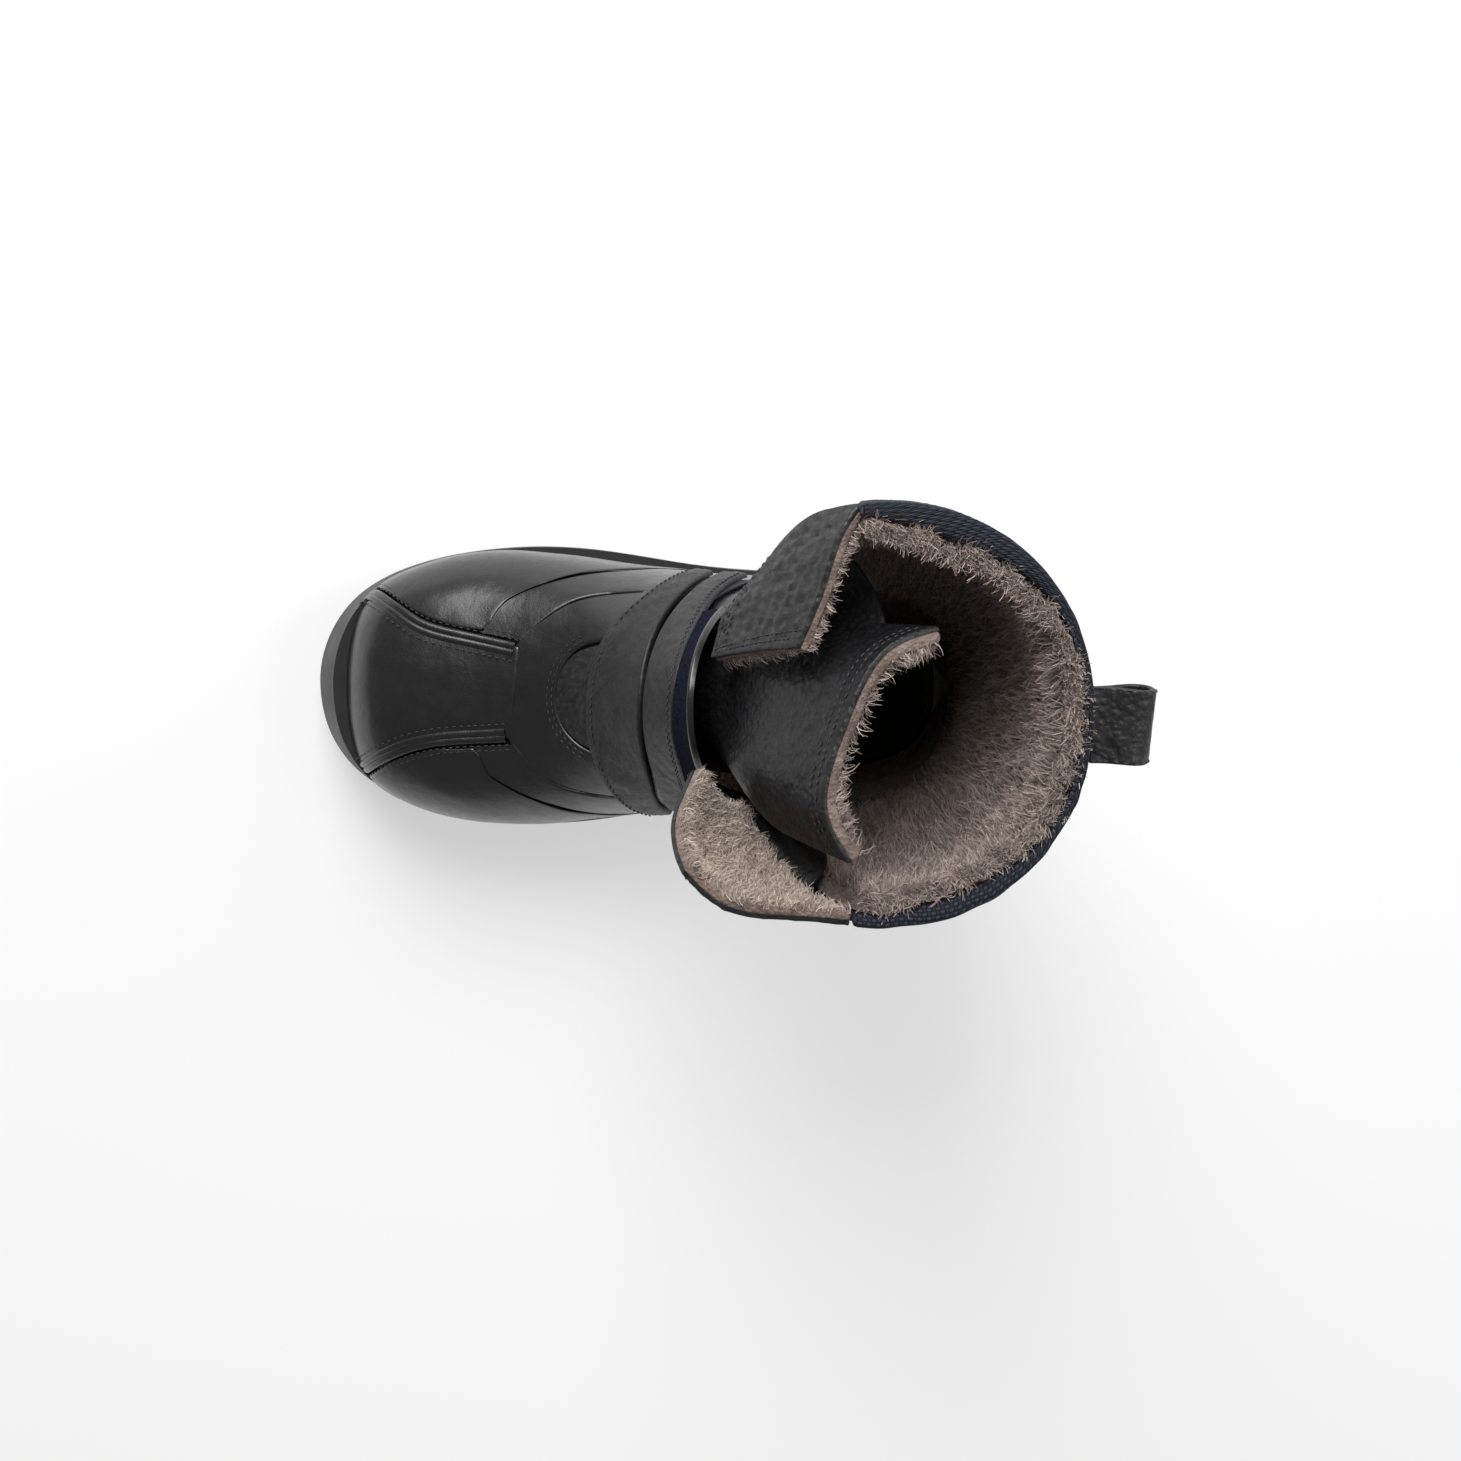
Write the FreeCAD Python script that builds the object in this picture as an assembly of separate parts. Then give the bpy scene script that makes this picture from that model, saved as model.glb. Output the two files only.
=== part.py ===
"""Child's winter boot for the right foot: cupped rubber sole, leather foot, woven shaft and wool lining.

The toe points to -Y, the shaft rises along +Z, and the wearer's outer side is -X. The origin is on the
ground, under the middle of the sole. All sizes are in millimetres.
"""

import FreeCAD
import Part

import math
import os

Vector = FreeCAD.Vector

# Overall sizes
SOLE_LENGTH = 230.0
BALL_WIDTH = 91.6
SHAFT_WIDTH = 112.0
BOOT_HEIGHT = 196.0

# Layers of the upper, from the outside in
LEATHER = 1.6
TEXTILE = 1.2
LAYER_GAP = 0.15
STIFFENER = 1.0
LINING_START = 3.2
FUR = 6.0
OVERLAY = 1.4

# Sole
OUTSOLE_BASE = 10.0
LUG_DEPTH = 3.5
GROOVE_WIDTH = 4.0
LUG_PITCH = 13.0
TREAD_RIM = 7.0
TOE_SPRING = 8.0
HEEL_SPRING = 2.5
LIP_SIDE = 26.0
LIP_TOE = 34.0
LIP_HEEL = 30.0
CUP_CLEARANCE = 0.45
CUP_WALL_TOE = 4.6
CUP_WALL_SIDE = 2.6
CUP_WALL_HEEL = 3.6
FLARE_TOE = 6.5
FLARE_SIDE = 0.8
FLARE_HEEL = 2.4
MIDSOLE = 5.4
BOARD = 2.0
SHANK_LENGTH = 95.0
SHANK_WIDTH = 14.0
SHANK_THICKNESS = 1.6
FOOTBED = 6.0
STACK_GAP = 0.2

# Heights that the layers of the sole settle
MIDSOLE_BOTTOM = OUTSOLE_BASE + STACK_GAP
BOARD_BOTTOM = MIDSOLE_BOTTOM + MIDSOLE + STACK_GAP
BOARD_TOP = BOARD_BOTTOM + BOARD
LAST_BOTTOM = BOARD_TOP - 3.8
UPPER_EDGE = BOARD_TOP + STACK_GAP
RISE = BOOT_HEIGHT - LAST_BOTTOM

# Sections of the upper from the toe to the collar. Each lies in a plane across the boot: the y and z of its
# top or front point, the y and z of its bottom or back point, its half width, the level of its widest place,
# and the powers of its two rounded halves. y is a share of the sole's length, z of the upper's rise, and the
# half width of the ball's width in the foot and of the shaft's width above.
FOOT_SECTIONS = [
    (-0.4543, 0.066, -0.4543, 0.033, 0.044, 0.50, 2.0, 2.0),
    (-0.4500, 0.121, -0.4500, 0.016, 0.169, 0.45, 2.1, 2.3),
    (-0.4304, 0.176, -0.4304, 0.005, 0.300, 0.40, 2.2, 2.8),
    (-0.3870, 0.220, -0.3870, 0.000, 0.398, 0.36, 2.3, 3.2),
    (-0.3130, 0.253, -0.3130, 0.000, 0.469, 0.34, 2.35, 3.6),
    (-0.2304, 0.286, -0.2261, 0.000, 0.500, 0.33, 2.3, 3.8),
    (-0.1565, 0.335, -0.1391, 0.000, 0.491, 0.34, 2.2, 3.8),
    (-0.1087, 0.385, -0.0348, 0.000, 0.464, 0.36, 2.15, 3.6),
    (-0.0630, 0.453, 0.1100, 0.000, 0.437, 0.38, 2.1, 3.4),
    (-0.0296, 0.528, 0.3050, 0.005, 0.420, 0.42, 2.1, 3.0),
    (-0.0043, 0.599, 0.4520, 0.033, 0.420, 0.46, 2.1, 2.6),
]
SHAFT_SECTIONS = [
    (0.0065, 0.670, 0.4700, 0.176, 0.362, 0.48, 2.1, 2.4, -0.009),
    (0.0100, 0.736, 0.4640, 0.363, 0.393, 0.50, 2.1, 2.25, -0.018),
    (0.0043, 0.802, 0.4500, 0.555, 0.442, 0.50, 2.1, 2.15, -0.027),
    (-0.0130, 0.896, 0.4543, 0.775, 0.500, 0.50, 2.1, 2.1, -0.031),
    (-0.0348, 1.000, 0.4435, 1.000, 0.491, 0.50, 2.1, 2.1, -0.027),
]
ARC_STEPS = 120


def section_rows():
    """The sections with real sizes."""
    rows = []
    for top_y, top_z, low_y, low_z, half, level, top_power, low_power in FOOT_SECTIONS:
        rows.append([top_y * SOLE_LENGTH, LAST_BOTTOM + top_z * RISE, low_y * SOLE_LENGTH,
                     LAST_BOTTOM + low_z * RISE, half * BALL_WIDTH, level, top_power, low_power, 0.0])
    for top_y, top_z, low_y, low_z, half, level, top_power, low_power, shift in SHAFT_SECTIONS:
        rows.append([top_y * SOLE_LENGTH, LAST_BOTTOM + top_z * RISE, low_y * SOLE_LENGTH,
                     LAST_BOTTOM + low_z * RISE, half * SHAFT_WIDTH, level, top_power, low_power,
                     shift * SHAFT_WIDTH])
    return rows


def bending(values):
    """Second derivatives of the natural cubic spline through values at 0, 1, 2 and so on."""
    n = len(values)
    diagonal = [0.0] * n
    right = [0.0] * n
    for i in range(1, n - 1):
        share = 1.0 / (4.0 - diagonal[i - 1])
        diagonal[i] = share
        right[i] = (6.0 * (values[i + 1] - 2.0 * values[i] + values[i - 1]) - right[i - 1]) * share
    second = [0.0] * n
    for i in range(n - 2, 0, -1):
        second[i] = right[i] - diagonal[i] * second[i + 1]
    return second


def spline(values, second, place):
    """The natural cubic spline through values at a place from 0 to their number less one."""
    i = min(max(int(place), 0), len(values) - 2)
    t = place - i
    s = 1.0 - t
    return (values[i] * s + values[i + 1] * t
            + ((s ** 3 - s) * second[i] + (t ** 3 - t) * second[i + 1]) / 6.0)


ROWS = section_rows()
COLUMNS = [list(column) for column in zip(*ROWS)]
BENDS = [bending(column) for column in COLUMNS]
COLLAR = len(ROWS) - 1.0
CACHE = {}


def section(u):
    """The section at place u along the boot, with its angle at each step of its half girth."""
    key = round(u, 5)
    if key not in CACHE:
        row = [spline(c, b, u) for c, b in zip(COLUMNS, BENDS)]
        lengths = [0.0]
        last = section_point(row, 0.0)
        for step in range(1, ARC_STEPS + 1):
            here = section_point(row, math.pi * step / ARC_STEPS)
            lengths.append(lengths[-1] + (here - last).Length)
            last = here
        CACHE[key] = (row, lengths)
    return CACHE[key]


def section_point(row, angle):
    """A point of a section, from its front line at angle 0 to its back line at pi, on the +X side."""
    top_y, top_z, low_y, low_z, half, level, top_power, low_power, shift = row
    cosine = math.cos(angle)
    power = top_power if cosine > 0 else low_power
    end_y, end_z = (top_y, top_z) if cosine > 0 else (low_y, low_z)
    mid_y = low_y + level * (top_y - low_y)
    mid_z = low_z + level * (top_z - low_z)
    along = abs(cosine) ** (2.0 / power)
    across = max(math.sin(angle), 0.0) ** (2.0 / power)
    return Vector(half * across, mid_y + along * (end_y - mid_y), mid_z + along * (end_z - mid_z))


def surface(u, v):
    """The outer surface: u is the place along the boot and v the share of the half girth from the front
    line, positive on the inner side of the foot and negative on the outer side, running on past the back."""
    if v > 1.0:
        v -= 2.0
    if v < -1.0:
        v += 2.0
    row, lengths = section(u)
    wanted = abs(v) * lengths[-1]
    low, high = 0, ARC_STEPS
    while high - low > 1:
        middle = (low + high) // 2
        if lengths[middle] <= wanted:
            low = middle
        else:
            high = middle
    share = (wanted - lengths[low]) / max(lengths[high] - lengths[low], 1e-9)
    point = section_point(row, math.pi * (low + share) / ARC_STEPS)
    side = -1.0 if v < 0 else 1.0
    return Vector(side * point.x + row[8], point.y, point.z)


def inward(u, v):
    """The unit normal that points into the boot."""
    du, dv = 0.03, 0.006
    before = max(u - du, 0.0)
    after = min(u + du, COLLAR)
    along = surface(after, v) - surface(before, v)
    around = surface(u, v + dv) - surface(u, v - dv)
    return along.cross(around).normalize()


def skin(u, v, depth):
    """The point at a depth below the outer surface; a negative depth is outside it."""
    return surface(u, v) + inward(u, v) * depth


def poles_through(points):
    """Control points of the evenly spaced cubic spline through some points."""
    axes = []
    last = len(points) - 1
    for k in range(3):
        values = [point[k] for point in points]
        bends = bending(values)
        start = values[0] + (values[1] - values[0] - bends[1] / 6.0) / 3.0
        end = values[last] - (values[last] - values[last - 1] + bends[last - 1] / 6.0) / 3.0
        inner = [values[i] - bends[i] / 6.0 for i in range(1, last)]
        axes.append([values[0], start] + inner + [end, values[last]])
    return [Vector(x, y, z) for x, y, z in zip(*axes)]


def sheet(grid):
    """A smooth face through a grid of points."""
    rows = [poles_through(row) for row in grid]
    columns = [poles_through([row[j] for row in rows]) for j in range(len(rows[0]))]
    poles = [[column[i] for column in columns] for i in range(len(columns[0]))]
    knots = []
    for count in (len(grid), len(grid[0])):
        knots.append((list(range(count)), [4] + [1] * (count - 2) + [4]))
    face = Part.BSplineSurface()
    face.buildFromPolesMultsKnots(poles, knots[0][1], knots[1][1], knots[0][0], knots[1][0], False, False, 3, 3)
    return face


def thick(outer, inner):
    """The solid between two grids of points with the same numbers of rows and columns."""
    a, b = sheet(outer), sheet(inner)
    faces = [a.toShape(), b.toShape()]
    ends_a = [a.uIso(a.bounds()[0]), a.uIso(a.bounds()[1]), a.vIso(a.bounds()[2]), a.vIso(a.bounds()[3])]
    ends_b = [b.uIso(b.bounds()[0]), b.uIso(b.bounds()[1]), b.vIso(b.bounds()[2]), b.vIso(b.bounds()[3])]
    for one, other in zip(ends_a, ends_b):
        faces.append(Part.makeRuledSurface(one.toShape(), other.toShape()))
    shell = Part.Compound(faces)
    shell.sewShape()
    shell = shell.Shells[0] if shell.ShapeType != "Shell" else shell
    solid = Part.Solid(shell)
    if solid.Volume < 0:
        solid.reverse()
    return solid


def curve(stations):
    """A smooth path through hand-chosen (u, v) stations, from 0 to 1."""
    us = [station[0] for station in stations]
    vs = [station[1] for station in stations]
    bend_u, bend_v = bending(us), bending(vs)
    last = len(stations) - 1

    def at(share):
        return spline(us, bend_u, share * last), spline(vs, bend_v, share * last)

    return at


def line(start, end):
    """A straight path in u and v."""
    return curve([start, end])


def edge_share(u):
    """How far round the section at u the upper's lower edge lies."""
    low, high = 0.3, 1.0
    if surface(u, high).z > UPPER_EDGE:
        return high
    for _ in range(30):
        middle = (low + high) / 2.0
        if surface(u, middle).z > UPPER_EDGE + 0.3:
            low = middle
        else:
            high = middle
    return low


def edge_place(v):
    """The place u behind the heel where the upper's lower edge lies, at share v of the half girth."""
    low, high = 8.0, 11.0
    for _ in range(30):
        middle = (low + high) / 2.0
        if surface(middle, v).z > UPPER_EDGE + 0.3:
            high = middle
        else:
            low = middle
    return high


def lower_edge(start, end, side):
    """The path along the upper's lower edge between two places."""
    def at(share):
        u = start + share * (end - start)
        return u, side * edge_share(u)

    return at


def patch(first, last, start, end):
    """The (u, v) region between four paths: first and last run along it, start and end across it."""
    corners = [first(0.0), first(1.0), last(0.0), last(1.0)]

    def at(s, t):
        a, b, c, d = first(s), last(s), start(t), end(t)
        place = []
        for k in (0, 1):
            sides = (1 - t) * a[k] + t * b[k] + (1 - s) * c[k] + s * d[k]
            fixed = ((1 - s) * (1 - t) * corners[0][k] + s * (1 - t) * corners[1][k]
                     + (1 - s) * t * corners[2][k] + s * t * corners[3][k])
            place.append(sides - fixed)
        return place

    return at


def panel(region, outer, inner, rows=13, columns=13):
    """The solid between two depths below the outer surface over a (u, v) region."""
    grids = []
    for depth in (outer, inner):
        grids.append([[skin(*region(i / (rows - 1.0), j / (columns - 1.0)), depth)
                       for j in range(columns)] for i in range(rows)])
    return thick(grids[0], grids[1])


def lowered(grid, depth):
    """A copy of a grid of points moved along its own normals."""
    rows, columns = len(grid), len(grid[0])
    moved = []
    for i in range(rows):
        line_of_points = []
        for j in range(columns):
            along = grid[min(i + 1, rows - 1)][j] - grid[max(i - 1, 0)][j]
            across = grid[i][min(j + 1, columns - 1)] - grid[i][max(j - 1, 0)]
            line_of_points.append(grid[i][j] + along.cross(across).normalize() * depth)
        moved.append(line_of_points)
    return moved


def layer(grid, outer, inner):
    """The solid between two depths below a grid of points."""
    return thick(lowered(grid, outer), lowered(grid, inner))


def spread(rows, count):
    """A finer grid: each row of control points and then each column becomes a smooth run of points."""
    fine = [smooth_run(row, count) for row in rows]
    columns = [smooth_run([row[j] for row in fine], count) for j in range(count)]
    return [[columns[j][i] for j in range(count)] for i in range(count)]


def smooth_run(points, count):
    """Evenly numbered points of the natural cubic spline through some points."""
    parts = []
    for k in range(3):
        values = [point[k] for point in points]
        parts.append((values, bending(values)))
    last = len(points) - 1.0
    return [Vector(*[spline(values, bends, last * i / (count - 1.0)) for values, bends in parts])
            for i in range(count)]


def free_point(x, y, z):
    """A point given as shares of the shaft's width, the sole's length and the boot's height."""
    return Vector(x * SHAFT_WIDTH, y * SOLE_LENGTH, z * BOOT_HEIGHT)


# Seams of the foot, as hand-chosen stations in (u, v) on the outer side of the foot
APRON_OUTER = [(0.15, -0.62), (1.1, -0.61), (2.0, -0.57), (2.5, -0.47), (2.85, -0.366), (3.43, -0.25),
               (3.96, -0.191), (4.65, -0.155), (5.34, -0.127)]
APRON_INNER = [(0.15, 0.62), (1.0, 0.61), (1.7, 0.58), (2.1, 0.47), (2.45, 0.34), (3.1, 0.225),
               (3.79, 0.16), (4.47, 0.135), (5.19, 0.12)]
WING_FRONT_OUTER = [(4.70, -0.171), (4.3, -0.185), (3.96, -0.208), (3.43, -0.268), (2.90, -0.385),
                    (2.60, -0.48), (2.35, -0.60)]
WING_FRONT_INNER = [(4.55, 0.151), (4.1, 0.163), (3.79, 0.176), (3.1, 0.242), (2.50, 0.36), (2.20, 0.48),
                    (1.95, 0.60)]
WING_REAR_OUTER = [(4.84, -0.19), (5.02, -0.238), (5.49, -0.295), (6.31, -0.348), (7.2, -0.42),
                   (7.7, -0.52), (8.0, -0.65), (8.15, -0.78)]
WING_REAR_INNER = [(4.66, 0.17), (4.85, 0.235), (5.2, 0.28), (5.8, 0.32), (6.8, 0.40), (7.5, 0.51),
                   (7.88, 0.65), (8.05, 0.78)]
BAND_FRONT_OUTER = [(4.90, -0.165), (5.10, -0.225), (5.57, -0.283), (6.39, -0.336), (7.29, -0.408),
                    (7.79, -0.508), (8.09, -0.64), (8.24, -0.78)]
BAND_FRONT_INNER = [(4.74, 0.148), (4.94, 0.222), (5.28, 0.268), (5.88, 0.308), (6.89, 0.388),
                    (7.59, 0.498), (7.97, 0.64), (8.14, 0.78)]
BAND_REAR_OUTER = [(5.40, -0.142), (5.8, -0.2), (6.48, -0.257), (7.3, -0.292), (8.01, -0.318)]
BAND_REAR_INNER = [(5.25, 0.132), (5.55, 0.185), (6.13, 0.25), (7.1, 0.288), (8.01, 0.318)]
THROAT_FRONT = [(8.01, -0.304), (7.3, -0.279), (6.52, -0.243), (5.86, -0.186), (5.46, -0.118), (5.42, 0.0),
                (5.34, 0.108), (5.62, 0.173), (6.2, 0.237), (7.1, 0.275), (8.01, 0.304)]
THROAT_ARC = [(8.01, -0.163), (7.3, -0.143), (6.75, -0.128), (6.35, -0.096), (6.12, -0.048), (6.05, 0.008),
              (6.14, 0.06), (6.38, 0.1), (6.78, 0.13), (7.3, 0.146), (8.01, 0.163)]
INSERT_FRONT = [(8.01, -0.152), (7.3, -0.132), (6.79, -0.117), (6.42, -0.088), (6.2, -0.044), (6.13, 0.008),
                (6.22, 0.054), (6.45, 0.09), (6.82, 0.119), (7.3, 0.135), (8.01, 0.152)]
STRAP_FRONT = [(8.29, -0.452), (8.06, -0.298), (7.76, -0.215), (7.4, -0.143), (7.15, -0.07), (7.02, 0.0),
               (7.02, 0.09), (7.18, 0.17), (7.42, 0.284), (7.6, 0.36), (7.75, 0.43)]
STRAP_PARTING = [(8.62, -0.43), (8.66, -0.33), (8.70, -0.23), (8.74, -0.143), (8.78, -0.07), (8.76, 0.0),
                 (8.62, 0.09), (8.44, 0.17), (8.2, 0.284), (8.12, 0.36), (8.1, 0.43)]
STRAP_REAR = [(9.36, -0.42), (9.46, -0.33), (9.7, -0.23), (10.1, -0.143), (10.42, -0.07), (10.46, 0.0),
              (10.1, 0.09), (9.6, 0.17), (9.1, 0.284), (8.95, 0.36), (8.9, 0.43)]
TAPE_REAR = [(9.66, -0.41), (9.86, -0.33), (10.4, -0.23), (11.2, -0.143), (11.8, -0.07), (12.0, 0.0),
             (11.5, 0.09), (10.5, 0.17), (9.55, 0.284), (9.3, 0.36), (9.2, 0.43)]
COLLAR_FRONT = [(11.25, 0.205), (12.0, 0.215), (12.8, 0.262), (13.6, 0.335), (14.2, 0.39), (14.85, 0.45)]
QUARTER_TOP = 11.15
HEEL_SIDE = [(9.25, 0.885), (9.55, 0.82), (9.95, 0.75), (10.4, 0.695), (10.8, 0.655), (QUARTER_TOP, 0.625)]
SEAM = 0.012
COLLAR_LINE = 14.85

# Straps
STRAP = 1.6
STRAP_LIFT_LATERAL = 1.5
STRAP_LIFT_MEDIAL = 0.35
PILE = 0.5
PILE_GAP = 0.3
PARTING = 0.13

# Flaps, tongue and pull loop
FLAP_SEAM = 0.0076
FLAP_LEATHER = 1.4
FLAP_FUR = 3.4
TONGUE_LEATHER = 1.4
TONGUE_FUR = 4.0
LOOP_WIDTH = 21.0
LOOP_BAND = 1.8
LOOP_REACH = 17.5
LOOP_PLACE = 14.68
LOOP_GAP = 0.8
TAB = 0.5


def toe_apron():
    first, last = curve(APRON_OUTER), curve(APRON_INNER)
    region = patch(first, last, line(first(0.0), last(0.0)), line(first(1.0), last(1.0)))
    return panel(region, 0.0, LEATHER, 19, 17)


def vamp_wing(front, rear, side):
    first, last = curve(front), curve(rear)
    front_u, rear_u = front[-1][0], rear[-1][0]
    bottom = lower_edge(front_u, rear_u, side)
    first = curve(front[:-1] + [bottom(0.0)])
    last = curve(rear[:-1] + [bottom(1.0)])
    return panel(patch(first, last, line(front[0], rear[0]), bottom), 0.0, LEATHER, 15, 15)


def mid_band(front, rear, side):
    low = (front[-1][0], side * edge_share(front[-1][0]))
    first = curve(front[:-1] + [low])
    last = curve(rear)
    return panel(patch(first, last, line(front[0], rear[0]), line(low, rear[-1])), 0.0, LEATHER, 17, 9)


def throat_panel():
    first, last = curve(THROAT_FRONT), curve(THROAT_ARC)
    ends = (line(first(0.0), last(0.0)), line(first(1.0), last(1.0)))
    return panel(patch(first, last, ends[0], ends[1]), 0.0, LEATHER, 27, 7)


def throat_insert():
    first = curve(INSERT_FRONT)
    last = line((8.6, -0.152), (8.6, 0.152))
    ends = (line(first(0.0), last(0.0)), line(first(1.0), last(1.0)))
    return panel(patch(first, last, ends[0], ends[1]), 0.0, LEATHER, 21, 9)


def quarter(side):
    """The leather side of the boot between the vamp, the heel cap and the shaft's fabric."""
    front_u = 8.16 if side > 0 else 8.26
    low = (front_u, edge_share(front_u))
    seat = (HEEL_SIDE[0][0], edge_share(HEEL_SIDE[0][0]))
    top = curve([(8.1, 0.163), (9.0, 0.168), (10.1, 0.18), (QUARTER_TOP, 0.205)])
    under = curve([low, (8.55, edge_share(8.55)), (8.9, edge_share(8.9)), seat] + HEEL_SIDE[1:])
    front = curve([(8.1, 0.163), (8.1, 0.318), (8.12, 0.45), (0.4 * 8.12 + 0.6 * front_u, 0.62), low])
    rear = line((QUARTER_TOP, 0.205), (QUARTER_TOP, HEEL_SIDE[-1][1]))

    def region(s, t):
        u, v = patch(top, under, front, rear)(s, t)
        return u, side * v

    return panel(region, 0.0, LEATHER, 17, 15)


def heel_cap():
    """The leather cap round the back of the heel."""
    near = [(u, v + SEAM) for u, v in HEEL_SIDE]
    side_share = edge_share(HEEL_SIDE[0][0]) + SEAM
    near[0] = (edge_place(side_share), side_share)
    far = [(u, 2.0 - v) for u, v in near]
    top = curve([near[-1], (11.5, 0.82), (11.6, 1.0), (11.5, 1.18), far[-1]])

    def bottom(share):
        v = side_share + 2.0 * (1.0 - side_share) * share
        return edge_place(v if v <= 1.0 else 2.0 - v), v

    return panel(patch(curve(near), curve(far), bottom, top), 0.0, LEATHER, 13, 21)


def shaft_textile(side):
    """The woven side of the shaft, from its front seam to its back seam."""
    front = curve(COLLAR_FRONT)
    back = line((11.7, 0.985), (COLLAR_LINE - 0.05, 0.985))
    low = curve([(11.25, 0.205), (11.28, 0.4), (11.28, 0.63), (11.6, 0.82), (11.7, 0.985)])
    high = line((COLLAR_LINE - 0.05, 0.45), (COLLAR_LINE - 0.05, 0.985))
    front = curve(COLLAR_FRONT[:-1] + [(COLLAR_LINE - 0.05, 0.45)])
    region = patch(front, back, low, high)
    return panel(lambda s, t: (region(s, t)[0], side * region(s, t)[1]), 0.0, TEXTILE, 15, 15)


def band_round(low, high, start, outer, inner):
    """A strip round the back of the shaft between two heights."""
    region = patch(line((low, start), (high, start)), line((low, 2.0 - start), (high, 2.0 - start)),
                   line((low, start), (low, 2.0 - start)), line((high, start), (high, 2.0 - start)))
    return panel(region, outer, inner, 5, 31)


def backstay():
    region = patch(line((11.75, 0.955), (14.6, 0.965)), line((11.75, 1.045), (14.6, 1.035)),
                   line((11.75, 0.955), (11.75, 1.045)), line((14.6, 0.965), (14.6, 1.035)))
    return panel(region, -LAYER_GAP - OVERLAY, -LAYER_GAP, 11, 5)


def toe_puff():
    region = patch(line((0.8, -0.5), (2.9, -0.33)), line((0.8, 0.5), (2.9, 0.33)),
                   line((0.8, -0.5), (0.8, 0.5)), line((2.9, -0.33), (2.9, 0.33)))
    return panel(region, LEATHER + LAYER_GAP, LEATHER + LAYER_GAP + STIFFENER, 9, 15)


def heel_counter():
    region = patch(line((9.95, 0.72), (QUARTER_TOP, 0.70)), line((9.95, 1.28), (QUARTER_TOP, 1.30)),
                   line((9.95, 0.72), (9.95, 1.28)), line((QUARTER_TOP, 0.70), (QUARTER_TOP, 1.30)))
    return panel(region, LEATHER + LAYER_GAP, LEATHER + LAYER_GAP + STIFFENER, 9, 17)


def foot_lining():
    region = patch(line((2.5, -0.5), (8.0, -0.60)), line((2.5, 0.5), (8.0, 0.60)),
                   line((2.5, -0.5), (2.5, 0.5)), line((8.0, -0.60), (8.0, 0.60)))
    return panel(region, LINING_START, LINING_START + FUR - 1.0, 17, 19)


def heel_lining(side):
    first = curve([(8.1, 0.24), (9.5, 0.25), (11.15, 0.28)])
    last = curve([(8.1, 0.60), (9.0, 0.68), (9.6, 0.76), (10.1, 0.88), (10.5, 0.96), (11.15, 0.985)])
    region = patch(first, last, line(first(0.0), last(0.0)), line(first(1.0), last(1.0)))
    return panel(lambda s, t: (region(s, t)[0], side * region(s, t)[1]),
                 LINING_START, LINING_START + FUR - 1.0, 15, 15)


def shaft_lining():
    front = [(u + 0.02, v + 0.07) for u, v in COLLAR_FRONT]
    back = [(u, 2.0 - v) for u, v in front]
    low, high = front[0][0], front[-1][0]
    region = patch(curve(front), curve(back), line(front[0], back[0]), line(front[-1], back[-1]))
    return panel(region, LEATHER + 2.0 * LAYER_GAP, LEATHER + 2.0 * LAYER_GAP + FUR, 13, 31)


def strap(front, rear, begin=0.0, finish=1.0):
    """A strap laid over the foot from its free outer end to its sewn inner end, or a length of one."""
    first, last = curve(front), curve(rear)
    start, end = line(first(0.0), last(0.0)), line(first(1.0), last(1.0))
    region = patch(first, last, start, end)
    grids = []
    for height in (STRAP, 0.0):
        rows = []
        for i in range(25):
            s = begin + (finish - begin) * i / 24.0
            lift = STRAP_LIFT_LATERAL + (STRAP_LIFT_MEDIAL - STRAP_LIFT_LATERAL) * max(s - 0.3, 0.0) / 0.7
            rows.append([skin(*region(s, j / 8.0), -lift - height) for j in range(9)])
        grids.append(rows)
    return thick(grids[0], grids[1])


def shifted(stations, du):
    """Stations moved along the boot."""
    return [(u + du, v) for u, v in stations]


def lower_strap():
    return strap(STRAP_FRONT, shifted(STRAP_PARTING, -PARTING / 2.0))


def upper_strap():
    return strap(shifted(STRAP_PARTING, PARTING / 2.0), STRAP_REAR)


def pile_patch(u_low, u_high, v_low, v_high, outer):
    """A small fastening patch on the outer side of the foot."""
    region = patch(line((u_low, v_low), (u_low, v_high)), line((u_high, v_low), (u_high, v_high)),
                   line((u_low, v_low), (u_high, v_low)), line((u_low, v_high), (u_high, v_high)))
    return panel(region, outer, outer + PILE, 7, 7)


# Outline of the sole: shares of half the ball's width and of the sole's length, from the toe round the
# outer side, the heel and the inner side
OUTLINE = [(0.0, -0.5), (-0.36, -0.486), (-0.66, -0.445), (-0.885, -0.37), (-1.015, -0.27),
           (-1.06, -0.17), (-1.045, -0.09), (-1.0, -0.02), (-0.94, 0.06), (-0.90, 0.15), (-0.885, 0.25),
           (-0.85, 0.34), (-0.73, 0.42), (-0.44, 0.48), (0.0, 0.5), (0.44, 0.48), (0.73, 0.42),
           (0.85, 0.34), (0.885, 0.25), (0.895, 0.15), (0.925, 0.06), (0.985, -0.02), (1.035, -0.09),
           (1.055, -0.17), (1.01, -0.27), (0.885, -0.37), (0.66, -0.445), (0.36, -0.486)]


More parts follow.
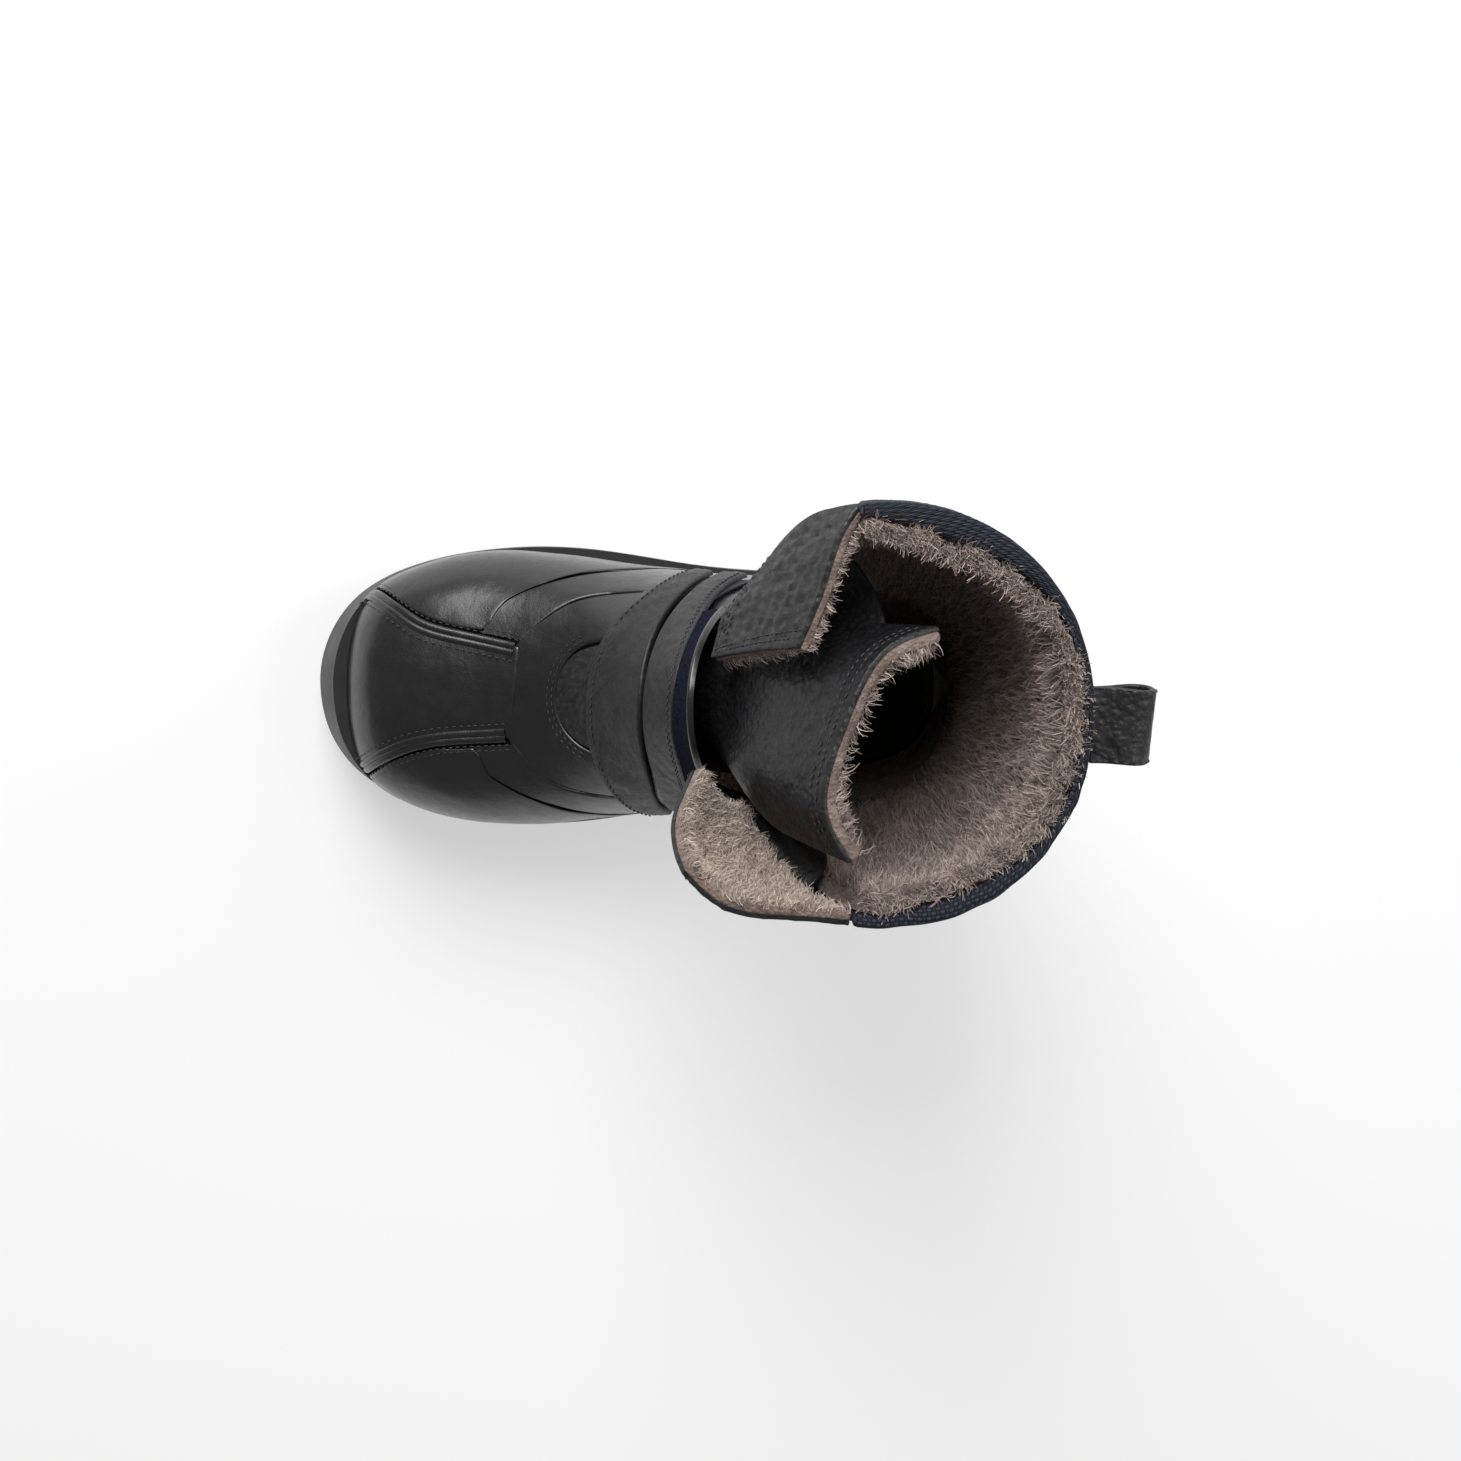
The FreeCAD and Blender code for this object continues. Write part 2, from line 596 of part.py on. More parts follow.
def outline_points(inset_toe, inset_side, inset_heel, z):
    """The sole's outline at a height, moved inward by amounts that change from the toe to the heel."""
    half = BALL_WIDTH / 2.0
    base = [Vector(x * half, y * SOLE_LENGTH, z) for x, y in OUTLINE]
    points = []
    for i, point in enumerate(base):
        along = base[(i + 1) % len(base)] - base[i - 1]
        inward_side = Vector(-along.y, along.x, 0.0).normalize()
        if inward_side.dot(Vector(-point.x, -point.y, 0.0)) < 0:
            inward_side = inward_side * -1.0
        share = OUTLINE[i][1] / 0.5
        toe = (max(-share - 0.6, 0.0) / 0.4) ** 2
        heel = (max(share - 0.5, 0.0) / 0.5) ** 2
        inset = inset_side + (inset_toe - inset_side) * toe + (inset_heel - inset_side) * heel
        points.append(point + inward_side * inset)
    return points


def outline_wire(points):
    path = Part.BSplineCurve()
    path.interpolate(points, PeriodicFlag=True)
    return Part.Wire([path.toShape()])


def slab(insets, bottom, top):
    """A flat slab with the sole's outline moved inward."""
    face = Part.Face(outline_wire(outline_points(*insets, bottom)))
    return face.extrude(Vector(0, 0, top - bottom))


def side_prism():
    """The side view of the sole as a prism: the ground line with its toe and heel spring, and the lip."""
    half = SOLE_LENGTH / 2.0
    across = BALL_WIDTH
    ground = [Vector(-across, -half - 1.0, TOE_SPRING), Vector(-across, -0.8 * half, 0.47 * TOE_SPRING),
              Vector(-across, -0.52 * half, 0.05 * TOE_SPRING), Vector(-across, -0.40 * half, 0.0)]
    heel = [Vector(-across, 0.78 * half, 0.0), Vector(-across, 0.9 * half, 0.3 * HEEL_SPRING),
            Vector(-across, half + 1.0, HEEL_SPRING)]
    lip = [Vector(-across, half + 1.0, LIP_HEEL), Vector(-across, 0.62 * half, LIP_HEEL - 0.5),
           Vector(-across, 0.30 * half, LIP_SIDE), Vector(-across, -0.35 * half, LIP_SIDE),
           Vector(-across, -0.72 * half, LIP_TOE - 3.0), Vector(-across, -0.86 * half, LIP_TOE),
           Vector(-across, -half - 1.0, LIP_TOE)]
    edges = [smooth_edge(ground), Part.makeLine(ground[-1], heel[0]), smooth_edge(heel),
             Part.makeLine(heel[-1], lip[0]), smooth_edge(lip), Part.makeLine(lip[-1], ground[0])]
    return Part.Face(Part.Wire(edges)).extrude(Vector(2.0 * across, 0, 0))


def smooth_edge(points):
    path = Part.BSplineCurve()
    path.interpolate(points)
    return path.toShape()


def last_form(clearance, first, last):
    """The closed form of the upper's outer surface, a little larger all round."""
    wires = []
    count = 36
    u = first
    steps = 22
    for step in range(steps + 1):
        u = first + (last - first) * step / steps
        row = section(u)[0]
        lean = Vector(0, row[0] - row[2], row[1] - row[3]).normalize()
        loop = [surface(u, -1.0 + 2.0 * (i + 0.5) / count) for i in range(count)]
        points = []
        for i, point in enumerate(loop):
            along = loop[(i + 1) % count] - loop[i - 1]
            across = Vector(1, 0, 0) * along.dot(lean) - lean * along.x
            outward = across.normalize()
            centre = Vector(row[8], (row[0] + row[2]) / 2.0, (row[1] + row[3]) / 2.0)
            if outward.dot(point - centre) < 0:
                outward = outward * -1.0
            points.append(point + outward * clearance)
        wires.append(outline_wire(points))
    return Part.makeLoft(wires, True)


POCKET = (14.0, 5.5, 14.0)


def inset_by(insets, more):
    return tuple(value + more for value in insets)


def outsole():
    """The moulded rubber cup with its tread lugs."""
    foot = slab((0.0, 0.0, 0.0), -1.0, 14.0)
    low = outline_wire(outline_points(0.0, 0.0, 0.0, 14.0))
    high = outline_wire(outline_points(FLARE_TOE, FLARE_SIDE, FLARE_HEEL, LIP_TOE + 2.0))
    block = foot.fuse(Part.makeLoft([low, high], True)).common(side_prism())
    block = block.cut(last_form(CUP_CLEARANCE, 0.0, 11.6))
    block = block.cut(slab(POCKET, OUTSOLE_BASE, UPPER_EDGE + 4.0))
    inside = slab((TREAD_RIM, TREAD_RIM, TREAD_RIM), -2.0, OUTSOLE_BASE)
    number = int(SOLE_LENGTH / 2.0 / LUG_PITCH)
    grooves = []
    for i in range(-number, number):
        y = (i + 0.5) * LUG_PITCH
        rise = tread_rise(y)
        bar = Part.makeBox(BALL_WIDTH * 1.2, GROOVE_WIDTH, LUG_DEPTH + rise + 3.0,
                           Vector(-BALL_WIDTH * 0.6, y - GROOVE_WIDTH / 2.0, -3.0))
        grooves.append(bar)
    grooves.append(Part.makeBox(GROOVE_WIDTH, SOLE_LENGTH, LUG_DEPTH + 3.0,
                                Vector(BALL_WIDTH * 0.17, -SOLE_LENGTH / 2.0, -3.0)))
    grooves.append(Part.makeBox(GROOVE_WIDTH, SOLE_LENGTH, LUG_DEPTH + 3.0,
                                Vector(-BALL_WIDTH * 0.17 - GROOVE_WIDTH, -SOLE_LENGTH / 2.0, -3.0)))
    cutter = grooves[0].multiFuse(grooves[1:]).common(inside)
    block = block.cut(cutter)
    return biggest(block)


def tread_rise(y):
    """How far the ground line has risen at a place along the sole."""
    share = -y / (SOLE_LENGTH / 2.0)
    return TOE_SPRING * max(share - 0.45, 0.0) ** 1.3


def biggest(shape):
    """The largest solid of a shape."""
    return max(shape.Solids, key=lambda solid: solid.Volume)


def midsole():
    body = slab(inset_by(POCKET, STACK_GAP), MIDSOLE_BOTTOM, MIDSOLE_BOTTOM + MIDSOLE)
    room = Part.makeBox(SHANK_WIDTH + 2.0 * LAYER_GAP, SHANK_LENGTH + 2.0 * LAYER_GAP, SHANK_THICKNESS + LAYER_GAP,
                        Vector(-SHANK_WIDTH / 2.0 - LAYER_GAP, -SHANK_LENGTH / 3.0 - LAYER_GAP,
                               MIDSOLE_BOTTOM + MIDSOLE - SHANK_THICKNESS - LAYER_GAP))
    return body.cut(room)


def shank():
    """The steel bar under the arch, let into the midsole."""
    bar = Part.makeBox(SHANK_WIDTH, SHANK_LENGTH, SHANK_THICKNESS,
                       Vector(-SHANK_WIDTH / 2.0, -SHANK_LENGTH / 3.0, MIDSOLE_BOTTOM + MIDSOLE - SHANK_THICKNESS))
    upright = [edge for edge in bar.Edges if abs(edge.tangentAt(edge.FirstParameter).z) > 0.9]
    return bar.makeFillet(SHANK_WIDTH / 2.2, upright)


def insole_board():
    return slab(inset_by(POCKET, STACK_GAP), BOARD_BOTTOM, BOARD_TOP)


def footbed():
    """The loose insole on the board."""
    body = slab(inset_by(POCKET, 3.0), BOARD_TOP + STACK_GAP, BOARD_TOP + STACK_GAP + FOOTBED)
    inner = last_form(-LINING_START, 1.6, 10.2)
    return biggest(body.common(inner))


def flap(side, rows):
    """The control rows of a front flap, each from its seam at the shaft to its free edge."""
    hinge = []
    for share in (0.0, 0.25, 0.5, 0.75, 1.0):
        u, v = curve(COLLAR_FRONT[2:])(share)
        hinge.append(skin(u, side * (v - FLAP_SEAM), 0.0))
    return [[start] + [free_point(*point) for point in row] for start, row in zip(hinge, rows)]


def past_seam(grid):
    """The part of a flap's grid that the pile covers, clear of the seam at the shaft."""
    return [row[1:] for row in grid]


LATERAL_FLAP_ROWS = [
    [(-0.268, 0.043, 0.758), (-0.205, 0.032, 0.757), (-0.143, 0.024, 0.757)],
    [(-0.320, 0.070, 0.812), (-0.240, 0.053, 0.812), (-0.157, 0.040, 0.812)],
    [(-0.375, 0.100, 0.868), (-0.275, 0.080, 0.868), (-0.170, 0.060, 0.866)],
    [(-0.420, 0.125, 0.925), (-0.305, 0.105, 0.922), (-0.180, 0.082, 0.918)],
    [(-0.440, 0.145, 0.982), (-0.322, 0.128, 0.976), (-0.188, 0.102, 0.969)],
]
MEDIAL_FLAP_ROWS = [
    [(0.302, 0.030, 0.788), (0.240, 0.006, 0.790), (0.160, -0.002, 0.794)],
    [(0.355, 0.032, 0.828), (0.290, -0.004, 0.828), (0.195, -0.014, 0.830)],
    [(0.400, 0.050, 0.868), (0.345, -0.002, 0.866), (0.245, -0.026, 0.864)],
    [(0.435, 0.075, 0.925), (0.400, 0.012, 0.920), (0.300, -0.028, 0.912)],
    [(0.448, 0.100, 0.978), (0.430, 0.030, 0.968), (0.345, -0.022, 0.952)],
]
TONGUE_ROWS = [
    [(-0.232, 0.112, 0.765), (-0.130, 0.078, 0.766), (0.0, 0.060, 0.766), (0.130, 0.056, 0.766),
     (0.241, 0.083, 0.766)],
    [(-0.245, 0.192, 0.870), (-0.135, 0.126, 0.885), (0.0, 0.100, 0.890), (0.150, 0.090, 0.890),
     (0.290, 0.114, 0.880)],
    [(-0.240, 0.272, 0.955), (-0.180, 0.200, 0.985), (-0.010, 0.155, 0.995), (0.180, 0.132, 0.995),
     (0.325, 0.165, 0.985)],
]


def tongue_rows():
    rows = []
    for u, depth in ((8.48, 2.2), (9.5, 3.8), (10.5, 6.2)):
        rows.append([skin(u, v, depth) for v in (-0.15, -0.08, 0.0, 0.08, 0.15)])
    return rows + [[free_point(*point) for point in row] for row in TONGUE_ROWS]


def loop_root():
    """The middle of the pull loop's sewn end."""
    seat = surface(LOOP_PLACE, 1.0)
    return seat.y + 2.0 * LAYER_GAP + OVERLAY + TAB + LOOP_GAP, seat.z


def pull_loop():
    """A strap folded into an eye behind the collar, seen from the side."""
    out, middle = loop_root()
    band = LOOP_BAND
    x = -LOOP_WIDTH / 2.0
    eye = LOOP_REACH - 2.0 * band - 4.0
    outer = [Vector(x, out, middle + band), Vector(x, out + 0.25 * LOOP_REACH, middle + band + 1.1),
             Vector(x, out + 0.68 * LOOP_REACH, middle + band + 3.6), Vector(x, out + LOOP_REACH, middle),
             Vector(x, out + 0.68 * LOOP_REACH, middle - band - 3.6),
             Vector(x, out + 0.25 * LOOP_REACH, middle - band - 1.1), Vector(x, out, middle - band)]
    start = out + 4.0
    inner = [Vector(x, start, middle), Vector(x, start + 0.3 * eye, middle + 1.7),
             Vector(x, start + 0.72 * eye, middle + 3.4), Vector(x, start + eye, middle),
             Vector(x, start + 0.72 * eye, middle - 3.4), Vector(x, start + 0.3 * eye, middle - 1.7)]
    body = Part.Face(Part.Wire([smooth_edge(outer), Part.makeLine(outer[-1], outer[0])]))
    hole = Part.Face(outline_wire(inner))
    return body.cut(hole).Faces[0].extrude(Vector(LOOP_WIDTH, 0, 0))


def loop_tab():
    """The sewn ends of the pull loop, flat on the back of the shaft."""
    region = patch(line((14.05, 0.925), (14.82, 0.925)), line((14.05, 1.075), (14.82, 1.075)),
                   line((14.05, 0.925), (14.05, 1.075)), line((14.82, 0.925), (14.82, 1.075)))
    gap = 2.0 * LAYER_GAP + OVERLAY
    return panel(region, -gap - TAB, -gap, 5, 7)


def main():
    lateral = spread(flap(-1.0, LATERAL_FLAP_ROWS), 15)
    medial = spread(flap(1.0, MEDIAL_FLAP_ROWS), 15)
    tongue = spread(tongue_rows(), 17)
    lift = -LAYER_GAP - PILE
    pieces = {
        "outsole": outsole(),
        "midsole": midsole(),
        "shank": shank(),
        "insole_board": insole_board(),
        "footbed": footbed(),
        "toe_apron": toe_apron(),
        "vamp_wing_lateral": vamp_wing(WING_FRONT_OUTER, WING_REAR_OUTER, -1.0),
        "vamp_wing_medial": vamp_wing(WING_FRONT_INNER, WING_REAR_INNER, 1.0),
        "mid_band_lateral": mid_band(BAND_FRONT_OUTER, BAND_REAR_OUTER, -1.0),
        "mid_band_medial": mid_band(BAND_FRONT_INNER, BAND_REAR_INNER, 1.0),
        "throat_panel": throat_panel(),
        "throat_insert": throat_insert(),
        "quarter_lateral": quarter(-1.0),
        "quarter_medial": quarter(1.0),
        "heel_cap": heel_cap(),
        "shaft_textile_lateral": shaft_textile(-1.0),
        "shaft_textile_medial": shaft_textile(1.0),
        "collar_binding": band_round(COLLAR_LINE - 0.03, COLLAR, 0.46, -0.4, TEXTILE + 0.2),
        "backstay": backstay(),
        "toe_puff": toe_puff(),
        "heel_counter": heel_counter(),
        "foot_lining": foot_lining(),
        "heel_lining_lateral": heel_lining(-1.0),
        "heel_lining_medial": heel_lining(1.0),
        "shaft_lining": shaft_lining(),
        "loop_patch_lower": pile_patch(8.38, 8.6, -0.40, -0.24, lift),
        "loop_patch_upper": pile_patch(8.85, 9.3, -0.38, -0.22, lift),
        "lower_strap": lower_strap(),
        "lower_strap_hook": pile_patch(8.36, 8.62, -0.41, -0.23, lift - PILE - PILE_GAP),
        "upper_strap": upper_strap(),
        "upper_strap_tape": strap(shifted(STRAP_REAR, 0.02), TAPE_REAR, 0.24, 0.82),
        "upper_strap_hook": pile_patch(8.85, 9.3, -0.39, -0.21, lift - PILE - PILE_GAP),
        "lateral_flap": layer(lateral, 0.0, FLAP_LEATHER),
        "lateral_flap_fur": layer(past_seam(lateral), FLAP_LEATHER + LAYER_GAP, FLAP_LEATHER + FLAP_FUR),
        "medial_flap": layer(medial, 0.0, FLAP_LEATHER),
        "medial_flap_fur": layer(past_seam(medial), -LAYER_GAP, -FLAP_FUR),
        "tongue": layer(tongue, 0.0, TONGUE_LEATHER),
        "tongue_fur": layer(tongue, TONGUE_LEATHER + LAYER_GAP, TONGUE_LEATHER + TONGUE_FUR),
        "pull_loop": pull_loop(),
        "loop_tab": loop_tab(),
    }
    os.makedirs("parts", exist_ok=True)
    for name, shape in pieces.items():
        if not shape.isValid():
            print("invalid", name)
        shape.exportStep("parts/" + name + ".step")


if __name__ == "__main__":
    main()
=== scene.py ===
"""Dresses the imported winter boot: leather, sole, woven shaft, wool pile, stitches and the studio."""

import math

import bpy
import numpy as np
from bpy.props import FloatProperty, FloatVectorProperty, IntProperty, PointerProperty
from mathutils import Matrix, Vector


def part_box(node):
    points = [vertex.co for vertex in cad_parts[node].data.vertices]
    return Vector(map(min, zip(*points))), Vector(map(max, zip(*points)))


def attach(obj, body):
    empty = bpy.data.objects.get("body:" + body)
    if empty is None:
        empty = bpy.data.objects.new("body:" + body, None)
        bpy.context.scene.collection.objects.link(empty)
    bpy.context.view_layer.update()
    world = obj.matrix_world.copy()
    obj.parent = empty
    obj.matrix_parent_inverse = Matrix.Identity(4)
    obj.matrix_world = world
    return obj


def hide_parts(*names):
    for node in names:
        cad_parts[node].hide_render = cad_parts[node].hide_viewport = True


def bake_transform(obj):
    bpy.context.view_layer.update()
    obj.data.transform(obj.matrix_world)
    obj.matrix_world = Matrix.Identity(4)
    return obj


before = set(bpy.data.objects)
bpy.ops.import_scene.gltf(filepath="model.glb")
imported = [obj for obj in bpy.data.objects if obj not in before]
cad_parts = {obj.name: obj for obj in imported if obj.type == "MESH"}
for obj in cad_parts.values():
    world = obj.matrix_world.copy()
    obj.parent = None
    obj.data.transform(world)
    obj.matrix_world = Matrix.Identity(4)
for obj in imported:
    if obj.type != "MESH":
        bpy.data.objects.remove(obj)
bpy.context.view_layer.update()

bl_info = {
    "name": "Winter boot",
    "version": (1, 0, 0),
    "blender": (4, 5, 0),
    "location": "View3D > Sidebar > Winter boot",
    "description": "Builds the looks of a wool-lined winter boot around its packed solids",
    "category": "Object",
}

MM = 0.001

# Sizes of the boot, in millimetres, as in the solids
SOLE_LENGTH = 230.0
BALL_WIDTH = 91.6
SHAFT_WIDTH = 112.0
BOOT_HEIGHT = 196.0
LAST_BOTTOM = 14.0
UPPER_EDGE = 18.0
RISE = BOOT_HEIGHT - LAST_BOTTOM

# Sections of the upper from the toe to the collar. Each has its front point and its back point (y, z), its
# half width, the level of its widest place, the powers of its front and back curves, and a shift along x
FOOT_SECTIONS = [
    (-0.4543, 0.066, -0.4543, 0.033, 0.044, 0.50, 2.0, 2.0),
    (-0.4500, 0.121, -0.4500, 0.016, 0.169, 0.45, 2.1, 2.3),
    (-0.4304, 0.176, -0.4304, 0.005, 0.300, 0.40, 2.2, 2.8),
    (-0.3870, 0.220, -0.3870, 0.000, 0.398, 0.36, 2.3, 3.2),
    (-0.3130, 0.253, -0.3130, 0.000, 0.469, 0.34, 2.35, 3.6),
    (-0.2304, 0.286, -0.2261, 0.000, 0.500, 0.33, 2.3, 3.8),
    (-0.1565, 0.335, -0.1391, 0.000, 0.491, 0.34, 2.2, 3.8),
    (-0.1087, 0.385, -0.0348, 0.000, 0.464, 0.36, 2.15, 3.6),
    (-0.0630, 0.453, 0.1100, 0.000, 0.437, 0.38, 2.1, 3.4),
    (-0.0296, 0.528, 0.3050, 0.005, 0.420, 0.42, 2.1, 3.0),
    (-0.0043, 0.599, 0.4520, 0.033, 0.420, 0.46, 2.1, 2.6),
]
SHAFT_SECTIONS = [
    (0.0065, 0.670, 0.4700, 0.176, 0.362, 0.48, 2.1, 2.4, -0.009),
    (0.0100, 0.736, 0.4640, 0.363, 0.393, 0.50, 2.1, 2.25, -0.018),
    (0.0043, 0.802, 0.4500, 0.555, 0.442, 0.50, 2.1, 2.15, -0.027),
    (-0.0130, 0.896, 0.4543, 0.775, 0.500, 0.50, 2.1, 2.1, -0.031),
    (-0.0348, 1.000, 0.4435, 1.000, 0.491, 0.50, 2.1, 2.1, -0.027),
]
ARC_STEPS = 120
BATCH = 8000
STEP_ALONG = 0.03
STEP_ROUND = 0.008
HALVINGS = 24
EDGE_LIFT = 0.3


def section_table():
    rows = []
    for top_y, top_z, low_y, low_z, half, level, top_power, low_power in FOOT_SECTIONS:
        rows.append([top_y * SOLE_LENGTH, LAST_BOTTOM + top_z * RISE, low_y * SOLE_LENGTH,
                     LAST_BOTTOM + low_z * RISE, half * BALL_WIDTH, level, top_power, low_power, 0.0])
    for top_y, top_z, low_y, low_z, half, level, top_power, low_power, shift in SHAFT_SECTIONS:
        rows.append([top_y * SOLE_LENGTH, LAST_BOTTOM + top_z * RISE, low_y * SOLE_LENGTH,
                     LAST_BOTTOM + low_z * RISE, half * SHAFT_WIDTH, level, top_power, low_power,
                     shift * SHAFT_WIDTH])
    return np.array(rows)


def bending(values):
    """Second derivatives of the natural cubic spline through evenly spaced rows of values."""
    values = np.asarray(values, float)
    n = len(values)
    matrix = np.eye(n)
    right = np.zeros_like(values)
    for i in range(1, n - 1):
        matrix[i, i - 1:i + 2] = (1.0, 4.0, 1.0)
        right[i] = 6.0 * (values[i + 1] - 2.0 * values[i] + values[i - 1])
    return np.linalg.solve(matrix, right)


def spline(values, places):
    """The natural cubic spline through the rows of values, at places from 0 to their number less one."""
    values = np.asarray(values, float)
    bends = bending(values)
    places = np.asarray(places, float)
    i = np.clip(places.astype(int), 0, len(values) - 2)
    t = (places - i)[..., None]
    s = 1.0 - t
    return (values[i] * s + values[i + 1] * t
            + ((s ** 3 - s) * bends[i] + (t ** 3 - t) * bends[i + 1]) / 6.0)


ROWS = section_table()
COLLAR = len(ROWS) - 1.0


def loops(rows):
    """Points of the half sections on the +X side, from the front line to the back line."""
    angle = np.linspace(0.0, np.pi, ARC_STEPS + 1)[None, :]
    cosine = np.cos(angle)
    front = cosine > 0
    r = [rows[:, k][:, None] for k in range(9)]
    power = np.where(front, r[6], r[7])
    mid_y = r[2] + r[5] * (r[0] - r[2])
    mid_z = r[3] + r[5] * (r[1] - r[3])
    along = np.abs(cosine) ** (2.0 / power)
    across = np.maximum(np.sin(angle), 0.0) ** (2.0 / power)
    return np.stack([r[4] * across, mid_y + along * (np.where(front, r[0], r[2]) - mid_y),
                     mid_z + along * (np.where(front, r[1], r[3]) - mid_z)], axis=-1)


def surface(u, v):
    """The upper's outer surface in mm: u runs from the toe to the collar, v round the half girth."""
    u, v = np.broadcast_arrays(np.asarray(u, float), np.asarray(v, float))
    shape = u.shape
    u, v = u.ravel(), v.ravel()
    v = np.where(v > 1.0, v - 2.0, np.where(v < -1.0, v + 2.0, v))
    out = np.empty((len(u), 3))
    for start in range(0, len(u), BATCH):
        part = slice(start, start + BATCH)
        rows = spline(ROWS, u[part])
        points = loops(rows)
        steps = np.linalg.norm(np.diff(points, axis=1), axis=2)
        lengths = np.concatenate([np.zeros((len(steps), 1)), np.cumsum(steps, axis=1)], axis=1)
        wanted = np.abs(v[part]) * lengths[:, -1]
        i = np.clip((lengths <= wanted[:, None]).sum(axis=1) - 1, 0, ARC_STEPS - 1)
        k = np.arange(len(i))
        share = (wanted - lengths[k, i]) / np.maximum(lengths[k, i + 1] - lengths[k, i], 1e-9)
        before, after = points[k, i], points[k, i + 1]
        point = before + share[:, None] * (after - before)
        point[:, 0] = np.where(v[part] < 0, -1.0, 1.0) * point[:, 0] + rows[:, 8]
        out[part] = point
    return out.reshape(shape + (3,))


def inward(u, v):
    """Unit normals that point into the boot."""
    before, after = np.maximum(u - STEP_ALONG, 0.0), np.minimum(u + STEP_ALONG, COLLAR)
    along = surface(after, v) - surface(before, v)
    around = surface(u, v + STEP_ROUND) - surface(u, v - STEP_ROUND)
    normal = np.cross(along, around)
    return normal / np.linalg.norm(normal, axis=-1, keepdims=True)


def skin(u, v, height):
    """Points at a height above the outer surface."""
    u, v = np.broadcast_arrays(np.asarray(u, float), np.asarray(v, float))
    return surface(u, v) - inward(u, v) * np.asarray(height)[..., None]


def path(stations):
    """A smooth path through (u, v) stations, for shares from 0 to 1."""
    table = np.array(stations, float)
    return lambda share: spline(table, np.asarray(share) * (len(table) - 1.0))


def edge_share(u):
    """How far round the section at u the upper's lower edge lies."""
    u = np.atleast_1d(np.asarray(u, float))
    low, high = np.full(u.shape, 0.3), np.ones(u.shape)
    closed = surface(u, high)[..., 2] > UPPER_EDGE
    for _ in range(HALVINGS):
        middle = (low + high) / 2.0
        above = surface(u, middle)[..., 2] > UPPER_EDGE + EDGE_LIFT
        low, high = np.where(above, middle, low), np.where(above, high, middle)
    return np.where(closed, 1.0, low)


def lowest(u):
    """The same for one place, as a plain number."""
    return float(edge_share(u)[0])


def patch(first, last, start, end):
    """The (u, v) region between four paths: first and last run along it, start and end across it."""
    c = [first(0.0), first(1.0), last(0.0), last(1.0)]

    def at(s, t):
        s3, t3 = s[..., None], t[..., None]
        sides = (1 - t3) * first(s) + t3 * last(s) + (1 - s3) * start(t) + s3 * end(t)
        fixed = ((1 - s3) * (1 - t3) * c[0] + s3 * (1 - t3) * c[1] + (1 - s3) * t3 * c[2]
                 + s3 * t3 * c[3])
        return sides - fixed

    return at


def straight(start, end):
    return path([start, end])


def between(first, last):
    """The region between two rows of stations whose ends are joined straight."""
    return patch(path(first), path(last), straight(first[0], last[0]), straight(first[-1], last[-1]))


# Meshes: sheets, panels and bars, with the sizes that they share in mm
EDGE_SHARES = (0.0, 0.12, 0.3, 0.55, 0.8, 1.0)
EDGE_RADII = 2.2
CROWN_REACH = 3.0
UV_MM = 100.0
SEAM_SAMPLES = 160
WAVES_PER_SIZE = 5
PHASES = 6.28


def spaced(length, edge, step):
    """Shares along a length in mm, crowded near both ends so that rounded edges come out smooth."""
    near = [share * edge for share in EDGE_SHARES]
    count = max(int((length - 2.0 * edge) / step), 2)
    middle = list(np.linspace(edge, length - edge, count + 1)[1:-1])
    return np.array(near + middle + [length - d for d in reversed(near)]) / length


def grid_faces(rows, columns, offset=0, flip=False):
    i, j = np.meshgrid(np.arange(rows - 1), np.arange(columns - 1), indexing="ij")
    a = (i * columns + j + offset).ravel()
    quads = np.stack([a, a + columns, a + columns + 1, a + 1], axis=1)
    return quads[:, ::-1] if flip else quads


def smooth_object(name, points, faces, material, uv=None, sharp=40.0):
    """An object from points in millimetres, shaded smooth but for its sharp edges."""
    mesh = bpy.data.meshes.new(name)
    mesh.from_pydata((np.asarray(points) * MM).tolist(), [], faces)
    mesh.update()
    if uv is not None:
        layer = mesh.uv_layers.new(name="UVMap")
        corners = np.empty(len(mesh.loops), np.int32)
        mesh.loops.foreach_get("vertex_index", corners)
        layer.data.foreach_set("uv", np.asarray(uv, np.float32)[corners].ravel())
    mesh.shade_smooth()
    mesh.set_sharp_from_angle(angle=math.radians(sharp))
    mesh.materials.append(material)
    item = bpy.data.objects.new(name, mesh)
    bpy.context.scene.collection.objects.link(item)
    return item


def slab_object(name, outer, inner, material, uv=None, sharp=40.0):
    """A closed sheet between two grids of points, the outer one with its normals facing out."""
    rows, columns = outer.shape[:2]
    count = rows * columns
    ring = ([i * columns for i in range(rows)]
            + [(rows - 1) * columns + j for j in range(1, columns)]
            + [i * columns + columns - 1 for i in range(rows - 2, -1, -1)]
            + [j for j in range(columns - 2, 0, -1)])
    faces = grid_faces(rows, columns).tolist() + grid_faces(rows, columns, count, True).tolist()
    for a, b in zip(ring, ring[1:] + ring[:1]):
        faces.append([b, a, a + count, b + count])
    points = np.concatenate([outer.reshape(-1, 3), inner.reshape(-1, 3)])
    if uv is not None:
        uv = np.concatenate([uv.reshape(-1, 2)] * 2)
    item = smooth_object(name, points, faces, material, uv, sharp)
    face_outward(item)
    return item


